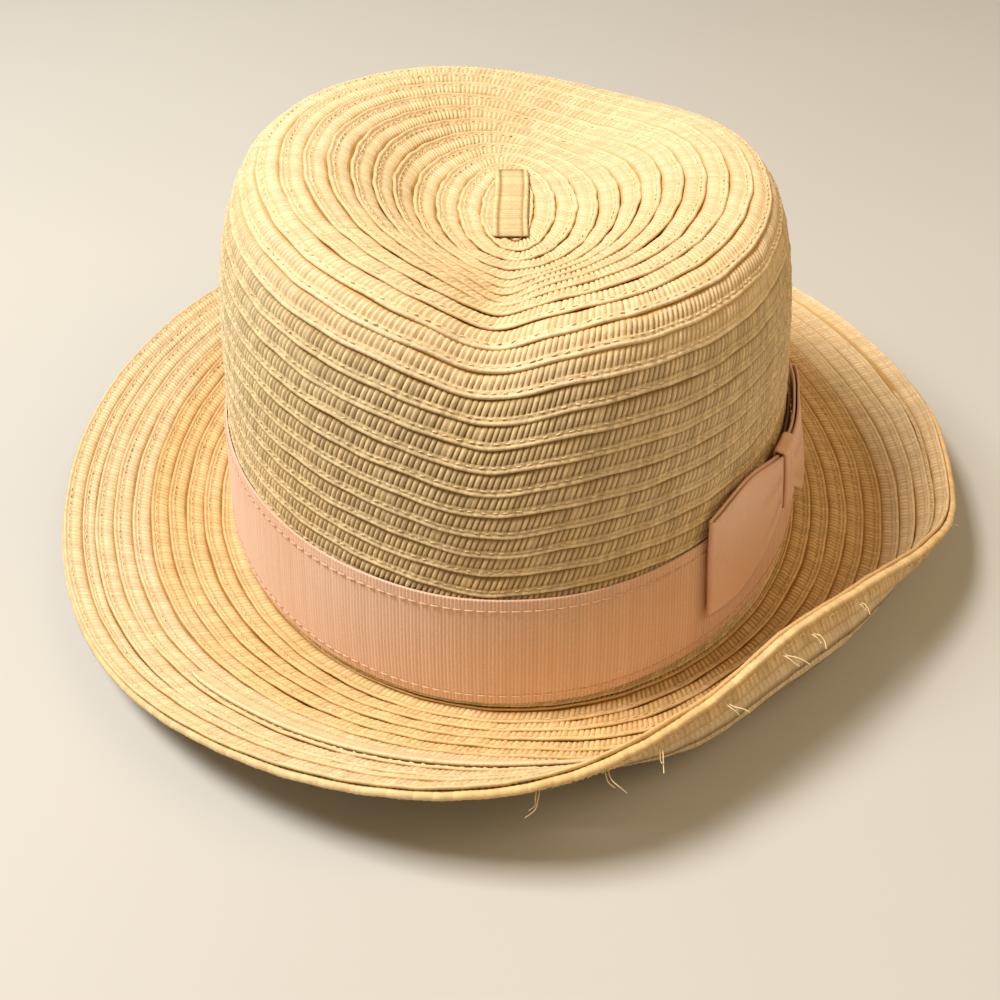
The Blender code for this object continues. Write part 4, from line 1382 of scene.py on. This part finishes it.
@dataclass
class Lining:
    """Sweatband, its stitching and the blank label."""

    shape: HatShape
    straw: float = 1.8
    gap: float = 0.3
    thickness: float = 0.8
    bottom: float = 0.8
    top: float = 32.0
    stitch_inset: float = 3.0
    thread: float = 0.5
    label: tuple = (20.0, 20.0)
    label_cuts: int = 15
    segments: int = 720
    fold_at: float = 0.11
    stitches: int = 180
    rows: tuple = (0.0, 0.02, 0.06, 0.10, 0.13, 0.3, 0.5, 0.7, 0.88, 0.93, 0.98, 1.0)

    def build(self, finish: dict) -> None:
        """Make the inside pieces.

        Args:
            finish: Materials by name.
        """
        count, share = self.segments, np.array(self.rows)
        angle = np.arange(count) * 360.0 / count
        height = self.bottom + (self.top - self.bottom) * share
        folded = np.abs(share - self.fold_at) < 0.03
        roll = np.where((share < 0.02) | (share > 0.99), 0.12, 0.0) + np.where(folded, 0.1, 0.0)
        waves = slow_waves(angle[:, None] + 25 * share[None], 5, (30.0, 54.0, 90.0))
        slack = 0.10 * waves * np.sin(np.pi * share)
        outer = -(self.straw + self.gap)
        inner = outer - self.thickness + roll[None] + slack
        level = np.broadcast_to(height[None], inner.shape)
        outside = self.shape.on_wall(angle[:, None], level, outer)
        inside = self.shape.on_wall(angle[:, None], level, inner)
        points, faces = sheet_body(outside, inside, True)
        # Painted shade along the fold of the sweatband.
        deep = both_sides(np.where(folded, 0.4, 0.0)[None] * np.ones((count, 1)))
        weave = np.random.default_rng(6).uniform(0, 1, count)[:, None]
        band = one_shell("sweatband_cotton", points, faces, shell_marks(deep, weave))
        declare(band, Body.HAT, Slot.COTTON, finish["cotton"], ("sweatband",))
        stitches = self.build_stitches(finish)
        self.build_label(finish)

    def build_stitches(self, finish: dict) -> bpy.types.Object:
        """Make the stitching along the sweatband's foot."""
        space = 360.0 / self.stitches
        middle = np.arange(self.stitches) * space
        level = self.bottom + self.stitch_inset
        out = -(self.straw + self.gap + self.thickness + self.gap)
        stations = []
        for end, sink, thick in ((-1, 0.45, 0.4), (-0.75, 0.0, 1.0), (0.75, 0.0, 1.0), (1, 0.45, 0.4)):
            angle = middle + end * 0.38 * space
            stations.append(np.stack([self.shape.on_wall(angle, level + up, out + sink + side)
                                      for up, side in diamond(0.4 * self.thread * thick)], 1))
        shell = Shell()
        add_stitches(shell, stations)
        return declare(shell.build("sweatband_stitch_thread"), Body.HAT, Slot.THREAD, finish["thread"],
                       ("sweatband_stitch",))

    def build_label(self, finish: dict) -> None:
        """Make the blank label that hangs from the sweatband's upper edge."""
        low, high = (Vector(corner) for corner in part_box("care_label"))
        deselect_all()
        middle, size = (low + high) / 2, high - low
        bpy.ops.mesh.primitive_cube_add(size=1.0, location=middle, scale=size)
        label = bpy.context.object
        label.name = "care_label_woven"
        bpy.ops.object.transform_apply(location=True, rotation=False, scale=True)
        bpy.ops.object.mode_set(mode="EDIT")
        bpy.ops.mesh.select_all(action="SELECT")
        bpy.ops.mesh.subdivide(number_cuts=self.label_cuts)
        bpy.ops.object.mode_set(mode="OBJECT")
        for vertex in label.data.vertices:
            across = (vertex.co.x - middle.x) / size.x
            drop = (high.z - vertex.co.z) / size.z
            hem = 0.12 * MM if drop < 0.12 or drop > 0.88 else 0.0
            face = 1.0 if vertex.co.y > middle.y else -1.0
            vertex.co.y += hem * face * 0.5 - 0.35 * MM * math.sin(math.pi * drop) * (1 - 2 * across * across)
        layer = label.data.attributes.new("lay", "FLOAT_VECTOR", "POINT")
        for index, vertex in enumerate(label.data.vertices):
            drop = (high.z - vertex.co.z) / size.z
            # Painted shade along the two lines where the hems end.
            layer.data[index].vector = (0.35 if abs(abs(drop - 0.5) - 0.38) < 0.03 else 0.0, 0.0, 0.0)
        bpy.ops.object.shade_smooth_by_angle(angle=math.radians(40))
        deselect_all()
        declare(label, Body.LABEL, Slot.COTTON, finish["label"], ("care_label",))


# --------------------------------------------------------------------------------------------- studio


@dataclass(frozen=True)
class Studio:
    """Pale floor, soft lights and the camera."""

    camera_from_head: tuple = (-0.0038, -0.3054, 0.2428)
    camera_tilt: float = 50.0
    lens: float = 43.8
    floor_size: float = 6.0
    floor_drop: float = 0.0002
    aim_height: float = 0.04
    surround: tuple = (1.0, 0.76, 0.42, 1)
    surround_strength: float = 0.30
    lights: tuple = (
        ("key", (-0.60, 0.00, 1.06), 0.40, 20.5, (1.0, 0.94, 0.84)),
        ("fill", (0.20, -1.00, 0.60), 0.9, 0.6, (1.0, 0.73, 0.42)),
        ("side", (0.80, -0.20, 0.95), 0.7, 5.0, (1.0, 0.70, 0.40)),
    )

    def build(self, shape: HatShape) -> None:
        """Set the studio up.

        Args:
            shape: The hat's shape, for the place of its middle.
        """
        middle = Vector((shape.middle[0] * MM, shape.middle[1] * MM, 0.0))
        self.build_floor()
        for name, place, size, power, colour in self.lights:
            data = bpy.data.lights.new(name, "AREA")
            data.size, data.energy, data.color = size, power, colour
            lamp = bpy.data.objects.new(name, data)
            lamp.location = Vector(place) + middle
            aim = middle + Vector((0, 0, self.aim_height)) - lamp.location
            lamp.rotation_euler = aim.to_track_quat("-Z", "Y").to_euler()
            bpy.context.scene.collection.objects.link(lamp)
        world = bpy.data.worlds.new("studio")
        world.use_nodes = True
        background = world.node_tree.nodes["Background"]
        background.inputs[0].default_value = self.surround
        background.inputs[1].default_value = self.surround_strength
        bpy.context.scene.world = world
        bpy.context.scene.view_settings.view_transform = "Standard"
        data = bpy.data.cameras.new("view")
        data.lens, data.sensor_width, data.clip_start = self.lens, 36.0, 0.01
        camera = bpy.data.objects.new("view", data)
        camera.location = middle + Vector(self.camera_from_head)
        camera.rotation_euler = (math.radians(self.camera_tilt), 0.0, 0.0)
        bpy.context.scene.collection.objects.link(camera)
        bpy.context.scene.camera = camera

    def build_floor(self) -> None:
        """Lay the floor just under the hat."""
        deselect_all()
        bpy.ops.mesh.primitive_plane_add(size=self.floor_size, location=(0.0, 0.0, -self.floor_drop))
        floor = bpy.context.object
        floor.name = "studio_floor"
        bpy.ops.object.transform_apply(location=True, rotation=False, scale=False)
        made = bpy.data.materials.new("studio_floor")
        made.use_nodes = True
        n = Nodes(made.node_tree)
        place = n.add("ShaderNodeTexCoord").outputs["Object"]
        colour = n.mix(n.noise(place, 6.0), (0.47, 0.48, 0.49, 1), (0.50, 0.51, 0.52, 1))
        shader = made.node_tree.nodes["Principled BSDF"]
        made.node_tree.links.new(colour, shader.inputs["Base Color"])
        shader.inputs["Roughness"].default_value = 0.8
        floor.data.materials.append(made)
        deselect_all()


def make_finishes() -> dict:
    """Build every material once, by name."""
    stain_and_shade, fibres = stain_and_shade_group(), fibre_group()
    finishes = Finishes()
    return {name: getattr(finishes, name).make(stain_and_shade, fibres) for name in Finishes.__dataclass_fields__}


def main() -> None:
    """Build the hat, piece by piece, and the studio around it."""
    logging.basicConfig(level=logging.INFO, format="%(name)s %(message)s")
    shape = HatShape()
    Studio().build(shape)
    finish = make_finishes()
    StrawCrown(shape).build(finish)
    StrawBrim(shape).build(finish)
    RibbonBand(shape).build(finish)
    Bow(shape).build(finish)
    Lining(shape).build(finish)
    wire = frame["nodes"]["brim_wire"]
    wire.data.materials.clear()
    wire.data.materials.append(steel_finish())


if __name__ == "__main__":
    main()
